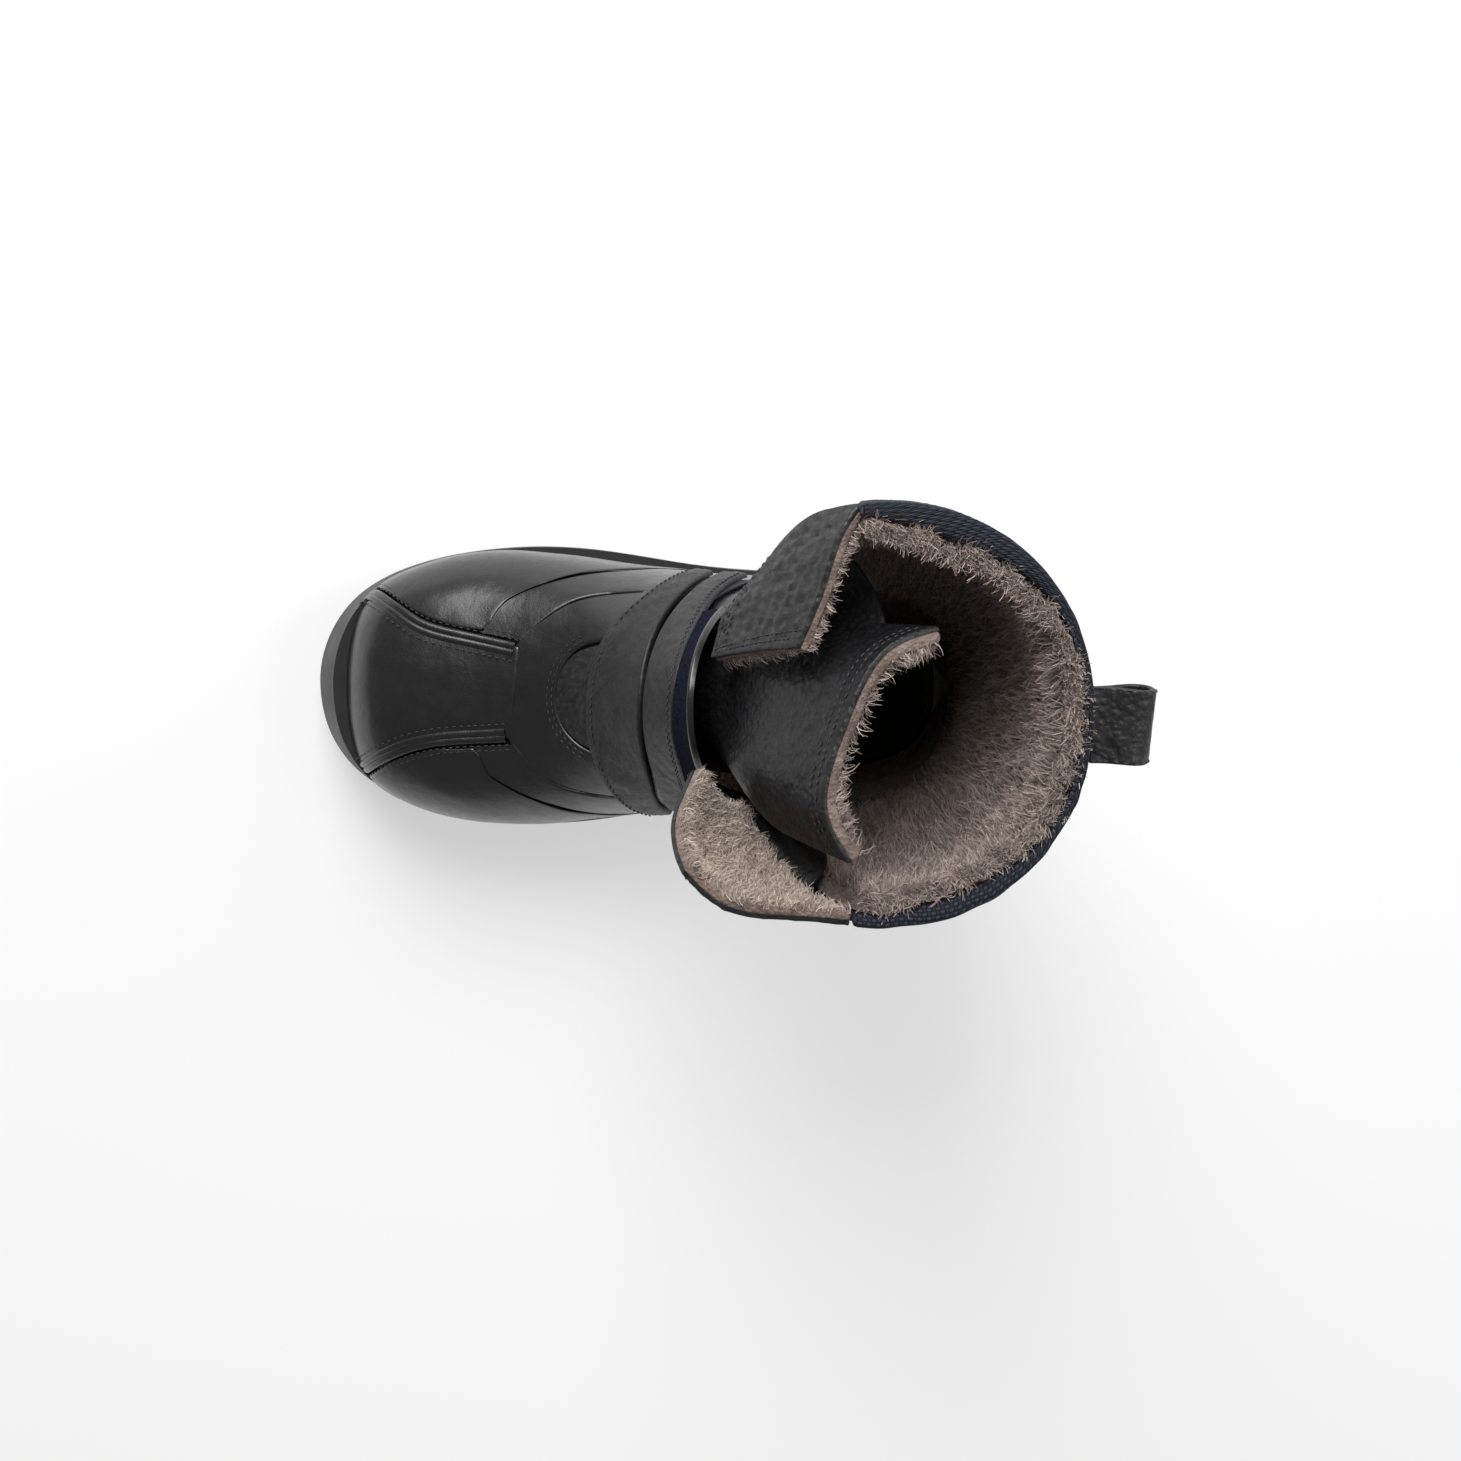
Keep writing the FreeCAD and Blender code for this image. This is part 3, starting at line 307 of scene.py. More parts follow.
def face_outward(item):
    """Turns a closed mesh the right way out, by the sign of its volume."""
    mesh = item.data
    mesh.calc_loop_triangles()
    co = np.empty(len(mesh.vertices) * 3, np.float64)
    mesh.vertices.foreach_get("co", co)
    co = co.reshape(-1, 3)
    tri = np.empty(len(mesh.loop_triangles) * 3, np.int32)
    mesh.loop_triangles.foreach_get("vertices", tri)
    a, b, c = co[tri[0::3]], co[tri[1::3]], co[tri[2::3]]
    if np.einsum("ij,ij->i", a, np.cross(b, c)).sum() < 0:
        mesh.flip_normals()


def rounded(distance, radius):
    """How far a rolled edge of that radius lies below the top, at a distance from the edge."""
    inside = np.clip(radius - distance, 0.0, radius)
    return radius - np.sqrt(np.maximum(radius ** 2 - inside ** 2, 0.0))


def run_lengths(points, axis):
    """Distances along a grid from both of its ends."""
    steps = np.linalg.norm(np.diff(points, axis=axis), axis=-1)
    total = np.cumsum(steps, axis=axis)
    pad = [(1, 0), (0, 0)] if axis == 0 else [(0, 0), (1, 0)]
    total = np.pad(total, pad)
    whole = total[-1:, :] if axis == 0 else total[:, -1:]
    return total, whole - total


def panel(name, region, lengths, top, thickness, material, radius=0.9, step=2.2, crown=0.25, relief=None,
          edges=(1, 1, 1, 1)):
    """A leather panel with rolled edges. lengths are its rough sizes in mm along and across, and edges says
    which of its sides (start, end, first, last) are rolled."""
    s = spaced(lengths[0], EDGE_RADII * radius, step)
    t = spaced(lengths[1], EDGE_RADII * radius, step)
    s_grid, t_grid = np.meshgrid(s, t, indexing="ij")
    place = region(s_grid, t_grid)
    u, v = place[..., 0], place[..., 1]
    base = surface(u, v)
    from_start, from_end = run_lengths(base, 0)
    from_first, from_last = run_lengths(base, 1)
    distances = [from_start, from_end, from_first, from_last]
    nearest = np.full(u.shape, np.inf)
    level = top(s_grid) if callable(top) else np.full(u.shape, float(top))
    height = level.copy()
    for wanted, distance in zip(edges, distances):
        if wanted:
            height -= rounded(distance, radius)
            nearest = np.minimum(nearest, distance)
    height += crown * (1.0 - np.exp(-nearest / CROWN_REACH))
    if relief is not None:
        height += relief(base, distances)
    normal = inward(u, v)
    outer = base - normal * height[..., None]
    inner = base - normal * (level - thickness)[..., None]
    uv = np.stack([from_first, from_start], axis=-1) / UV_MM
    return slab_object(name, outer, inner, material, uv)


def waves(points, sizes, seed):
    """Smooth wandering values between about -1 and 1, from a few sums of sines with fixed phases."""
    random = np.random.default_rng(seed)
    total = np.zeros(points.shape[:-1])
    for size in sizes:
        for _ in range(WAVES_PER_SIZE):
            direction = random.normal(size=3)
            direction /= np.linalg.norm(direction)
            total += np.sin(points @ direction * (2.0 * np.pi / size) + random.uniform(0.0, PHASES))
    return total / (float(WAVES_PER_SIZE) * len(sizes)) * 2.0


def frames_along(points, normals):
    """Directions along a run of points, at right angles to their normals."""
    along = np.gradient(points, axis=0)
    along -= (along * normals).sum(-1, keepdims=True) * normals
    along /= np.linalg.norm(along, axis=-1, keepdims=True)
    return along


def seam_run(stations, lift, sideways=0.0, step=0.5, limits=(0.0, 1.0)):
    """Evenly spaced points along a (u, v) path, lifted off the surface and moved to its side, with their
    directions along the path and out of the surface."""
    share = np.linspace(limits[0], limits[1], SEAM_SAMPLES)
    place = path(stations)(share)
    points = surface(place[:, 0], place[:, 1])
    total = np.concatenate([[0.0], np.cumsum(np.linalg.norm(np.diff(points, axis=0), axis=1))])
    count = max(int(total[-1] / step), 2)
    share = np.interp(np.linspace(0.0, total[-1], count + 1), total, share)
    place = path(stations)(share)
    out = -inward(place[:, 0], place[:, 1])
    points = surface(place[:, 0], place[:, 1])
    along = frames_along(points, out)
    side = np.cross(out, along)
    return points + side * sideways + out * lift, along, out


def tube(name, points, along, out, profile, material):
    """A closed bar: profile points (across, up) in mm swept along a run of points."""
    side = np.cross(out, along)
    profile = np.array(profile, float)
    ring = (points[:, None, :] + side[:, None, :] * profile[None, :, :1]
            + out[:, None, :] * profile[None, :, 1:])
    rows, columns = ring.shape[:2]
    faces = []
    for i in range(rows - 1):
        for j in range(columns):
            k = (j + 1) % columns
            faces.append([i * columns + j, i * columns + k, (i + 1) * columns + k, (i + 1) * columns + j])
    faces.append(list(range(columns)))
    faces.append([(rows - 1) * columns + j for j in reversed(range(columns))])
    item = smooth_object(name, ring.reshape(-1, 3), faces, material, sharp=50.0)
    face_outward(item)
    return item


def colour(code):
    """A linear colour from an sRGB hex code."""
    values = [int(code[i:i + 2], 16) / 255.0 for i in (1, 3, 5)]
    return tuple(v / 12.92 if v <= 0.04045 else ((v + 0.055) / 1.055) ** 2.4 for v in values) + (1.0,)


# Materials
YARN = 1.25
NOISE = "ShaderNodeTexNoise"
CELLS = "ShaderNodeTexVoronoi"
MATH = "ShaderNodeMath"
RAMP = "ShaderNodeValToRGB"
MIX = "ShaderNodeMix"
BUMP = "ShaderNodeBump"


def add(tree, kind, inputs=(), out=0, stops=(), **settings):
    """Adds a node with its settings, fills its inputs with values or other nodes' outputs, and gives one
    of its own outputs."""
    item = tree.nodes.new(kind)
    for key, value in settings.items():
        setattr(item, key, value)
    for key, value in dict(inputs).items():
        if isinstance(value, bpy.types.NodeSocket):
            tree.links.new(value, item.inputs[key])
        else:
            item.inputs[key].default_value = value
    if stops:
        while len(item.color_ramp.elements) < len(stops):
            item.color_ramp.elements.new(0.5)
        for element, (position, value) in zip(item.color_ramp.elements, stops):
            element.position = position
            element.color = colour(value) if isinstance(value, str) else (value, value, value, 1.0)
    return item.outputs[out]


def per(size_mm):
    """The texture scale at which a feature is about size_mm across."""
    return 1000.0 / size_mm


def start_material(name, output="Object"):
    """An empty material, its node tree and its coordinates."""
    made = bpy.data.materials.new(name)
    made.use_nodes = True
    return made, made.node_tree, add(made.node_tree, "ShaderNodeTexCoord", out=output)


def finish_material(made, base, normal=None, rough=None, **constants):
    """Links a material's colour, bump and roughness, and sets its constants on the shader's sockets."""
    tree = made.node_tree
    shader = tree.nodes["Principled BSDF"]
    for key, value in (("Base Color", base), ("Normal", normal), ("Roughness", rough)):
        if isinstance(value, bpy.types.NodeSocket):
            tree.links.new(value, shader.inputs[key])
        elif value is not None:
            shader.inputs[key].default_value = value
    for key, value in constants.items():
        shader.inputs[key.replace("_", " ")].default_value = value
    return made


def smooth_leather():
    """Finished black leather: fine pores under a soft polish, so highlights are broad and soft."""
    made, tree, place = start_material("smooth_leather")
    cloud = add(tree, NOISE, {"Vector": place, "Scale": per(26.0), "Detail": 5.0})
    base = add(tree, RAMP, {"Fac": cloud}, stops=((0.3, "#070708"), (0.7, "#0f0f11")))
    pores = add(tree, CELLS, {"Vector": place, "Scale": per(0.6)})
    creases = add(tree, NOISE, {"Vector": place, "Scale": per(8.0), "Detail": 4.0})
    gloss = add(tree, NOISE, {"Vector": place, "Scale": per(4.0), "Detail": 4.0})
    low = add(tree, BUMP, {"Height": creases, "Distance": 0.5 * MM})
    normal = add(tree, BUMP, {"Height": pores, "Distance": 0.03 * MM, "Normal": low})
    rough = add(tree, RAMP, {"Fac": gloss}, stops=((0.3, 0.34), (0.7, 0.42)))
    return finish_material(made, base, normal, rough, Specular_IOR_Level=0.5, Coat_Weight=0.5,
                           Coat_Roughness=0.22)


def grain_leather(name, grain, depth, stretch, dark, light):
    """Milled leather: rounded pebbles with painted shade in the creases between them, and a painted
    highlight, lighter grey, on the raised folds.
    """
    made, tree, place = start_material(name)
    place = add(tree, "ShaderNodeMapping", {"Vector": place, "Scale": stretch})
    pebbles = add(tree, CELLS, {"Vector": place, "Scale": per(grain)}, feature="SMOOTH_F1")
    folds = add(tree, NOISE, {"Vector": place, "Scale": per(5.0), "Detail": 5.0})
    # Painted shade: the pebble tops take the light colour and the low creases between them take the dark
    # one.
    painted_crease_shade = add(tree, RAMP, {"Fac": pebbles}, stops=((0.15, light), (0.6, dark)))
    # Painted highlight: where the folds stand high, using the same noise as their bump, the colour is mixed
    # towards a lighter grey.
    painted_fold_highlight = add(tree, RAMP, {"Fac": folds}, stops=((0.4, 0.0), (0.7, 0.3)))
    base = add(tree, MIX, {0: painted_fold_highlight, 6: painted_crease_shade, 7: colour("#29292c")}, out=2, data_type="RGBA")
    fine = add(tree, BUMP, {"Height": pebbles, "Distance": depth * MM, "Strength": 1.0}, invert=True)
    normal = add(tree, BUMP, {"Height": folds, "Distance": 2.0 * depth * MM, "Normal": fine})
    gloss = add(tree, NOISE, {"Vector": place, "Scale": per(2.0), "Detail": 4.0})
    rough = add(tree, RAMP, {"Fac": gloss}, stops=((0.3, 0.42), (0.7, 0.58)))
    return finish_material(made, base, normal, rough, Specular_IOR_Level=0.5)


def rubber():
    """Moulded black rubber: an even satin skin with faint dust."""
    made, tree, place = start_material("rubber")
    cloud = add(tree, NOISE, {"Vector": place, "Scale": per(18.0), "Detail": 6.0})
    base = add(tree, RAMP, {"Fac": cloud}, stops=((0.35, "#131315"), (0.7, "#1d1d1f")))
    skin_grain = add(tree, NOISE, {"Vector": place, "Scale": per(0.6), "Detail": 4.0})
    normal = add(tree, BUMP, {"Height": skin_grain, "Distance": 0.04 * MM})
    rough = add(tree, RAMP, {"Fac": cloud}, stops=((0.3, 0.42), (0.7, 0.56)))
    return finish_material(made, base, normal, rough, Specular_IOR_Level=0.45)


def woven_fabric():
    """Navy basket weave: each yarn crowns over the next, with painted shade in the gaps between them and
    where each yarn dips.
    """
    made, tree, place = start_material("woven_fabric", "UV")
    count = UV_MM / YARN
    place = add(tree, "ShaderNodeVectorMath", {0: place, 1: (count, count, 0.0)}, operation="MULTIPLY")
    cell = add(tree, "ShaderNodeVectorMath", {0: place}, operation="FLOOR")
    within = add(tree, "ShaderNodeVectorMath", {0: place}, operation="FRACTION")
    column = add(tree, "ShaderNodeSeparateXYZ", {0: cell})
    row = column.node.outputs[1]
    total = add(tree, MATH, {0: column, 1: row}, operation="ADD")
    odd = add(tree, MATH, {0: total, 1: 2.0}, operation="FLOORED_MODULO")
    x = add(tree, "ShaderNodeSeparateXYZ", {0: within})
    y = x.node.outputs[1]
    heights = []
    for along, across in ((x, y), (y, x)):
        turn = add(tree, MATH, {0: across, 1: math.pi}, operation="MULTIPLY")
        crown = add(tree, MATH, {0: turn}, operation="SINE")
        slope = add(tree, MATH, {0: along, 1: math.pi}, operation="MULTIPLY")
        arch = add(tree, MATH, {0: slope}, operation="SINE")
        half = add(tree, MATH, {0: arch, 1: 0.5, 2: 0.5}, operation="MULTIPLY_ADD")
        heights.append(add(tree, MATH, {0: crown, 1: half}, operation="MULTIPLY"))
    high = add(tree, MIX, {0: odd, 2: heights[0], 3: heights[1]}, data_type="FLOAT")
    yarn = add(tree, RAMP, {"Fac": odd}, stops=((0.0, "#2d3445"), (1.0, "#191d28")))
    # Painted shade: the lower the yarn's height, the closer its colour comes to near black.
    painted_gap_shade = add(tree, RAMP, {"Fac": high}, stops=((0.2, 0.0), (0.75, 1.0)))
    base = add(tree, MIX, {0: painted_gap_shade, 6: colour("#06070a"), 7: yarn}, out=2, data_type="RGBA")
    normal = add(tree, BUMP, {"Height": high, "Distance": 0.35 * MM})
    return finish_material(made, base, normal, 0.7, Specular_IOR_Level=0.35)


def loop_pile():
    """Navy loop tape: a low nap of tiny loops with painted shade between them and lint caught in it, so it
    looks dull and speckled.
    """
    made, tree, place = start_material("loop_pile")
    nap = add(tree, CELLS, {"Vector": place, "Scale": per(0.8)})
    lint = add(tree, NOISE, {"Vector": place, "Scale": per(1.6), "Detail": 6.0})
    # Painted shade: lighter on the loop tops and darker between them, where the nap's bump is low.
    base = add(tree, RAMP, {"Fac": nap}, stops=((0.2, "#1a1f38"), (0.8, "#05060c")))
    caught = add(tree, RAMP, {"Fac": lint}, stops=((0.62, 0.0), (0.75, 0.4)))
    base = add(tree, MIX, {0: caught, 6: base, 7: colour("#4a4e66")}, out=2, data_type="RGBA")
    normal = add(tree, BUMP, {"Height": nap, "Distance": 0.5 * MM}, invert=True)
    return finish_material(made, base, normal, 0.95, Specular_IOR_Level=0.1)


def wool(name, dark, light):
    """Taupe wool fibres: the shade changes from lock to lock, and there is no gloss."""
    made, tree, place = start_material(name)
    shade = add(tree, "ShaderNodeAttribute", out="Fac", attribute_name="shade")
    lock = add(tree, NOISE, {"Vector": place, "Scale": per(7.0), "Detail": 5.0})
    both = add(tree, MATH, {0: lock, 1: 0.5}, operation="MULTIPLY")
    both = add(tree, MATH, {0: shade, 1: 0.5, 2: both}, operation="MULTIPLY_ADD")
    base = add(tree, RAMP, {"Fac": both}, stops=((0.15, dark), (0.8, light)))
    return finish_material(made, base, None, 0.92, Sheen_Weight=0.25, Specular_IOR_Level=0.2)


def wool_bed():
    """Matted wool under the fibres: soft lumps whose tone changes from lock to lock and is painted darker
    where they sink, with painted shade in the pits between the locks.
    """
    made, tree, place = start_material("wool_bed")
    lock = add(tree, NOISE, {"Vector": place, "Scale": per(6.0), "Detail": 7.0, "Roughness": 0.7})
    tangle = add(tree, CELLS, {"Vector": place, "Scale": per(1.1)})
    # Partly painted shade: the tone varies from lock to lock, and the same noise makes the lumps' bump, so
    # their low parts come out darker.
    base = add(tree, RAMP, {"Fac": lock}, stops=((0.3, "#5b4d47"), (0.5, "#8c7a71"), (0.75, "#b3a298")))
    # Painted shade: the pits between the tangles, low in the bump, are darkened.
    painted_pit_shade = add(tree, MATH, {0: tangle, 1: 0.45}, operation="MULTIPLY")
    base = add(tree, MIX, {0: painted_pit_shade, 6: base, 7: colour("#4a3c33")}, out=2, data_type="RGBA")
    low = add(tree, BUMP, {"Height": lock, "Distance": 1.5 * MM})
    normal = add(tree, BUMP, {"Height": tangle, "Distance": 0.5 * MM, "Normal": low}, invert=True)
    return finish_material(made, base, normal, 0.96, Sheen_Weight=0.2, Specular_IOR_Level=0.15)


def even(name, code, rough, metal=0.0):
    """A hidden layer or small trim: one colour with a slight mottle, as cut or spun."""
    made, tree, place = start_material(name)
    cloud = add(tree, NOISE, {"Vector": place, "Scale": per(5.0), "Detail": 4.0})
    dark = tuple(0.65 * c for c in colour(code)[:3]) + (1.0,)
    base = add(tree, MIX, {0: cloud, 6: dark, 7: colour(code)}, out=2, data_type="RGBA")
    grit = add(tree, NOISE, {"Vector": place, "Scale": per(1.0), "Detail": 3.0})
    normal = add(tree, BUMP, {"Height": grit, "Distance": 0.05 * MM})
    return finish_material(made, base, normal, rough, Metallic=metal)


MAKERS = {
    "smooth_leather": smooth_leather,
    # The dark colour of each grained leather is painted shade for its creases.
    "grain_leather": lambda: grain_leather(
        "grain_leather", 1.5, 0.34, (1.0, 1.0, 1.0), "#08080a", "#1b1b1e"),
    "wrinkled_leather": lambda: grain_leather(
        "wrinkled_leather", 1.7, 0.42, (1.0, 1.0, 0.5), "#08080a", "#1d1d20"),
    "strap_leather": lambda: grain_leather(
        "strap_leather", 1.2, 0.1, (1.0, 1.0, 1.0), "#121112", "#1c1b1a"),
    "rubber": rubber,
    "woven_fabric": woven_fabric,
    "loop_pile": loop_pile,
    "wool": lambda: wool("wool", "#6c5d57", "#cbbab0"),
    # Painted light: a paler copy of the same wool, used for the medial flap.
    "painted_light_wool": lambda: wool("painted_light_wool", "#8c7c73", "#d9cabd"),
    "wool_bed": wool_bed,
    "thread": lambda: even("thread", "#3a3a40", 0.55),
    "hook_tape": lambda: even("hook_tape", "#15151a", 0.7),
    "foam": lambda: even("foam", "#1c1c1c", 0.9),
    "steel": lambda: even("steel", "#9a9a9a", 0.35, 1.0),
    "board": lambda: even("board", "#8a7660", 0.9),
    "felt": lambda: even("felt", "#4a3f37", 0.95),
    "stiffener": lambda: even("stiffener", "#c8c2b4", 0.8),
}
MATERIALS = {}


def material(name):
    """Each material is made once, when a piece first asks for it."""
    if name not in MATERIALS:
        MATERIALS[name] = MAKERS[name]()
    return MATERIALS[name]


# Seams of the upper, as (u, v) stations, the same as in the solids
APRON_OUTER = [(0.15, -0.62), (1.1, -0.61), (2.0, -0.57), (2.5, -0.47), (2.85, -0.366), (3.43, -0.25),
               (3.96, -0.191), (4.65, -0.155), (5.34, -0.127)]
APRON_INNER = [(0.15, 0.62), (1.0, 0.61), (1.7, 0.58), (2.1, 0.47), (2.45, 0.34), (3.1, 0.225),
               (3.79, 0.16), (4.47, 0.135), (5.19, 0.12)]
WING_FRONT_OUTER = [(4.70, -0.171), (4.3, -0.185), (3.96, -0.208), (3.43, -0.268), (2.90, -0.385),
                    (2.60, -0.48), (2.35, -0.60)]
WING_FRONT_INNER = [(4.55, 0.151), (4.1, 0.163), (3.79, 0.176), (3.1, 0.242), (2.50, 0.36), (2.20, 0.48),
                    (1.95, 0.60)]
WING_REAR_OUTER = [(4.84, -0.19), (5.02, -0.238), (5.49, -0.295), (6.31, -0.348), (7.2, -0.42),
                   (7.7, -0.52), (8.0, -0.65), (8.15, -0.78)]
WING_REAR_INNER = [(4.66, 0.17), (4.85, 0.235), (5.2, 0.28), (5.8, 0.32), (6.8, 0.40), (7.5, 0.51),
                   (7.88, 0.65), (8.05, 0.78)]
BAND_FRONT_OUTER = [(4.90, -0.165), (5.10, -0.225), (5.57, -0.283), (6.39, -0.336), (7.29, -0.408),
                    (7.79, -0.508), (8.09, -0.64), (8.24, -0.78)]
BAND_FRONT_INNER = [(4.74, 0.148), (4.94, 0.222), (5.28, 0.268), (5.88, 0.308), (6.89, 0.388),
                    (7.59, 0.498), (7.97, 0.64), (8.14, 0.78)]
BAND_REAR_OUTER = [(5.40, -0.142), (5.8, -0.2), (6.48, -0.257), (7.3, -0.292), (8.01, -0.318)]
BAND_REAR_INNER = [(5.25, 0.132), (5.55, 0.185), (6.13, 0.25), (7.1, 0.288), (8.01, 0.318)]
THROAT_FRONT = [(8.01, -0.304), (7.3, -0.279), (6.52, -0.243), (5.86, -0.186), (5.46, -0.118),
                (5.42, 0.0), (5.34, 0.108), (5.62, 0.173), (6.2, 0.237), (7.1, 0.275), (8.01, 0.304)]
THROAT_ARC = [(8.01, -0.163), (7.3, -0.143), (6.75, -0.128), (6.35, -0.096), (6.12, -0.048),
              (6.05, 0.008), (6.14, 0.06), (6.38, 0.1), (6.78, 0.13), (7.3, 0.146), (8.01, 0.163)]
INSERT_FRONT = [(8.01, -0.152), (7.3, -0.132), (6.79, -0.117), (6.42, -0.088), (6.2, -0.044),
                (6.13, 0.008), (6.22, 0.054), (6.45, 0.09), (6.82, 0.119), (7.3, 0.135), (8.01, 0.152)]
STRAP_FRONT = [(8.29, -0.452), (8.06, -0.298), (7.76, -0.215), (7.4, -0.143), (7.15, -0.07), (7.02, 0.0),
               (7.02, 0.09), (7.18, 0.17), (7.42, 0.284), (7.6, 0.36), (7.75, 0.43)]
STRAP_PARTING = [(8.62, -0.43), (8.66, -0.33), (8.70, -0.23), (8.74, -0.143), (8.78, -0.07), (8.76, 0.0),
                 (8.62, 0.09), (8.44, 0.17), (8.2, 0.284), (8.12, 0.36), (8.1, 0.43)]
STRAP_REAR = [(9.36, -0.42), (9.46, -0.33), (9.7, -0.23), (10.1, -0.143), (10.42, -0.07), (10.46, 0.0),
              (10.1, 0.09), (9.6, 0.17), (9.1, 0.284), (8.95, 0.36), (8.9, 0.43)]
TAPE_REAR = [(9.66, -0.41), (9.86, -0.33), (10.4, -0.23), (11.2, -0.143), (11.8, -0.07), (12.0, 0.0),
             (11.5, 0.09), (10.5, 0.17), (9.55, 0.284), (9.3, 0.36), (9.2, 0.43)]
COLLAR_FRONT = [(11.25, 0.205), (12.0, 0.215), (12.8, 0.262), (13.6, 0.335), (14.2, 0.39), (14.85, 0.45)]
QUARTER_TOP = 11.15
HEEL_SIDE = [(9.25, 0.885), (9.55, 0.82), (9.95, 0.75), (10.4, 0.695), (10.8, 0.655),
             (QUARTER_TOP, 0.625)]
COLLAR_LINE = 14.85
LEATHER = 1.6
TEXTILE = 1.2
STRAP = 1.6
PARTING = 0.13

# How the seams are made: laps and ends in shares of the surface, places and steps in mm
TUCK = 0.2
HEEL_LAP = 0.004
PIPING_PLACES = (0.4, 2.6)
PIPING_LIMITS = (0.06, 0.985)
THREAD_STEP = 2.4
RIM_SHARE = 0.35
FREE_LIFT = 1.5
SEWN_LIFT = 0.35
LIFT_START = 0.3
TAPE_SHOWN = 0.3
TAPE_BEAD = (0.25, 0.815)
STRAP_ROW = (0.03, 0.97)
STRAP_LENGTH = 150.0
STRAP_WIDTH = 22.0

# Control rows of the flaps and the tongue, from their lower end to their upper end, as shares of the
# shaft's width, the sole's length and the boot's height
LATERAL_FLAP_ROWS = [
    [(-0.268, 0.043, 0.758), (-0.205, 0.032, 0.757), (-0.143, 0.024, 0.757)],
    [(-0.320, 0.070, 0.812), (-0.240, 0.053, 0.812), (-0.157, 0.040, 0.812)],
    [(-0.375, 0.100, 0.868), (-0.275, 0.080, 0.868), (-0.170, 0.060, 0.866)],
    [(-0.420, 0.125, 0.925), (-0.305, 0.105, 0.922), (-0.180, 0.082, 0.918)],
    [(-0.440, 0.145, 0.982), (-0.322, 0.128, 0.976), (-0.188, 0.102, 0.969)],
]
MEDIAL_FLAP_ROWS = [
    [(0.248, 0.034, 0.742), (0.200, 0.020, 0.750), (0.140, 0.006, 0.765)],
    [(0.302, 0.030, 0.788), (0.240, 0.006, 0.790), (0.160, -0.002, 0.794)],
    [(0.355, 0.032, 0.828), (0.290, -0.004, 0.828), (0.195, -0.014, 0.830)],
    [(0.400, 0.050, 0.868), (0.345, -0.002, 0.866), (0.245, -0.026, 0.864)],
    [(0.435, 0.075, 0.925), (0.400, 0.012, 0.920), (0.300, -0.028, 0.912)],
    [(0.448, 0.100, 0.978), (0.430, 0.030, 0.968), (0.345, -0.022, 0.952)],
]
TONGUE_ROWS = [
    [(-0.232, 0.112, 0.765), (-0.130, 0.078, 0.766), (0.0, 0.060, 0.766), (0.130, 0.056, 0.766),
     (0.241, 0.083, 0.766)],
    [(-0.245, 0.192, 0.870), (-0.135, 0.126, 0.885), (0.0, 0.100, 0.890), (0.150, 0.090, 0.890),
     (0.290, 0.114, 0.880)],
    [(-0.240, 0.272, 0.955), (-0.180, 0.200, 0.985), (-0.010, 0.155, 0.995), (0.180, 0.132, 0.995),
     (0.325, 0.165, 0.985)],
]
FLAP_CORNER = (12.15, 0.219)
FLAP_SEAM = 0.0076
FLAP_LEATHER = 1.4
FLAP_FUR = 3.4
TONGUE_LEATHER = 1.4
TONGUE_FUR = 4.0
SHEET_RADIUS = 0.7
SHEET_STEP = 1.4
SHEET_THREAD_STEP = 2.2

# Stitches waiting to be sewn, by body: (points, along, out) of each row
SEWN = {}


def settle(item, body, slot, *nodes):
    """Sets a finished piece on its body and in place of the solids it dresses; slot is not used."""
    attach(item, body)
    if nodes:
        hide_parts(*nodes)
    return item


def sew(body, run):
    SEWN.setdefault(body, []).append(run)


def sides(region, side):
    """A region mirrored to the inner (+1) or outer (-1) side of the boot."""
    return lambda s, t: region(s, t) * np.array([1.0, side])


def shifted(stations, du, dv=0.0):
    return [(u + du, v + dv) for u, v in stations]


def soft(amount, sizes, seed):
    """A relief of soft unevenness, in mm."""
    return lambda points, distances: amount * waves(points, sizes, seed)


def lower_path(front_u, rear_u, side):
    """The path along the upper's lower edge between two places."""
    places = np.linspace(front_u, rear_u, 9)
    return path(list(zip(places, side * edge_share(places))))


# Toe, sides and heel
def build_apron():
    item = panel("toe_apron_leather", between(APRON_OUTER, APRON_INNER), (105.0, 45.0), 0.35, LEATHER,
                 material("smooth_leather"), relief=soft(0.12, (30.0, 14.0), 3))
    settle(item, "boot", "smooth_leather", "toe_apron")
    build_piping("outer", APRON_OUTER, 1.0)
    build_piping("inner", APRON_INNER, -1.0)


def build_piping(name, stations, side):
    """The two raised ridges and the two stitch rows of the seam between the apron and a wing."""
    for number, across in enumerate(PIPING_PLACES):
        run = seam_run(stations, 0.25, -side * across, 0.9, PIPING_LIMITS)
        bar = tube(f"piping_{name}_{number + 1}", *run, half_round(1.35, 0.95),
                   material("smooth_leather"))
        settle(bar, "boot", "smooth_leather")
    for across, lift in ((-1.7, 0.62), (-3.3, 0.62), (5.4, 1.05)):
        sew("boot", seam_run(stations, lift, -side * across, THREAD_STEP, PIPING_LIMITS))


def half_round(half_width, height):
    """Profile of a low bead whose flat side is sunk in what it lies on."""
    arc = [(half_width * math.cos(a), height * math.sin(a)) for a in np.linspace(0.0, math.pi, 9)]
    return [(half_width, -1.0)] + arc + [(-half_width, -1.0)]


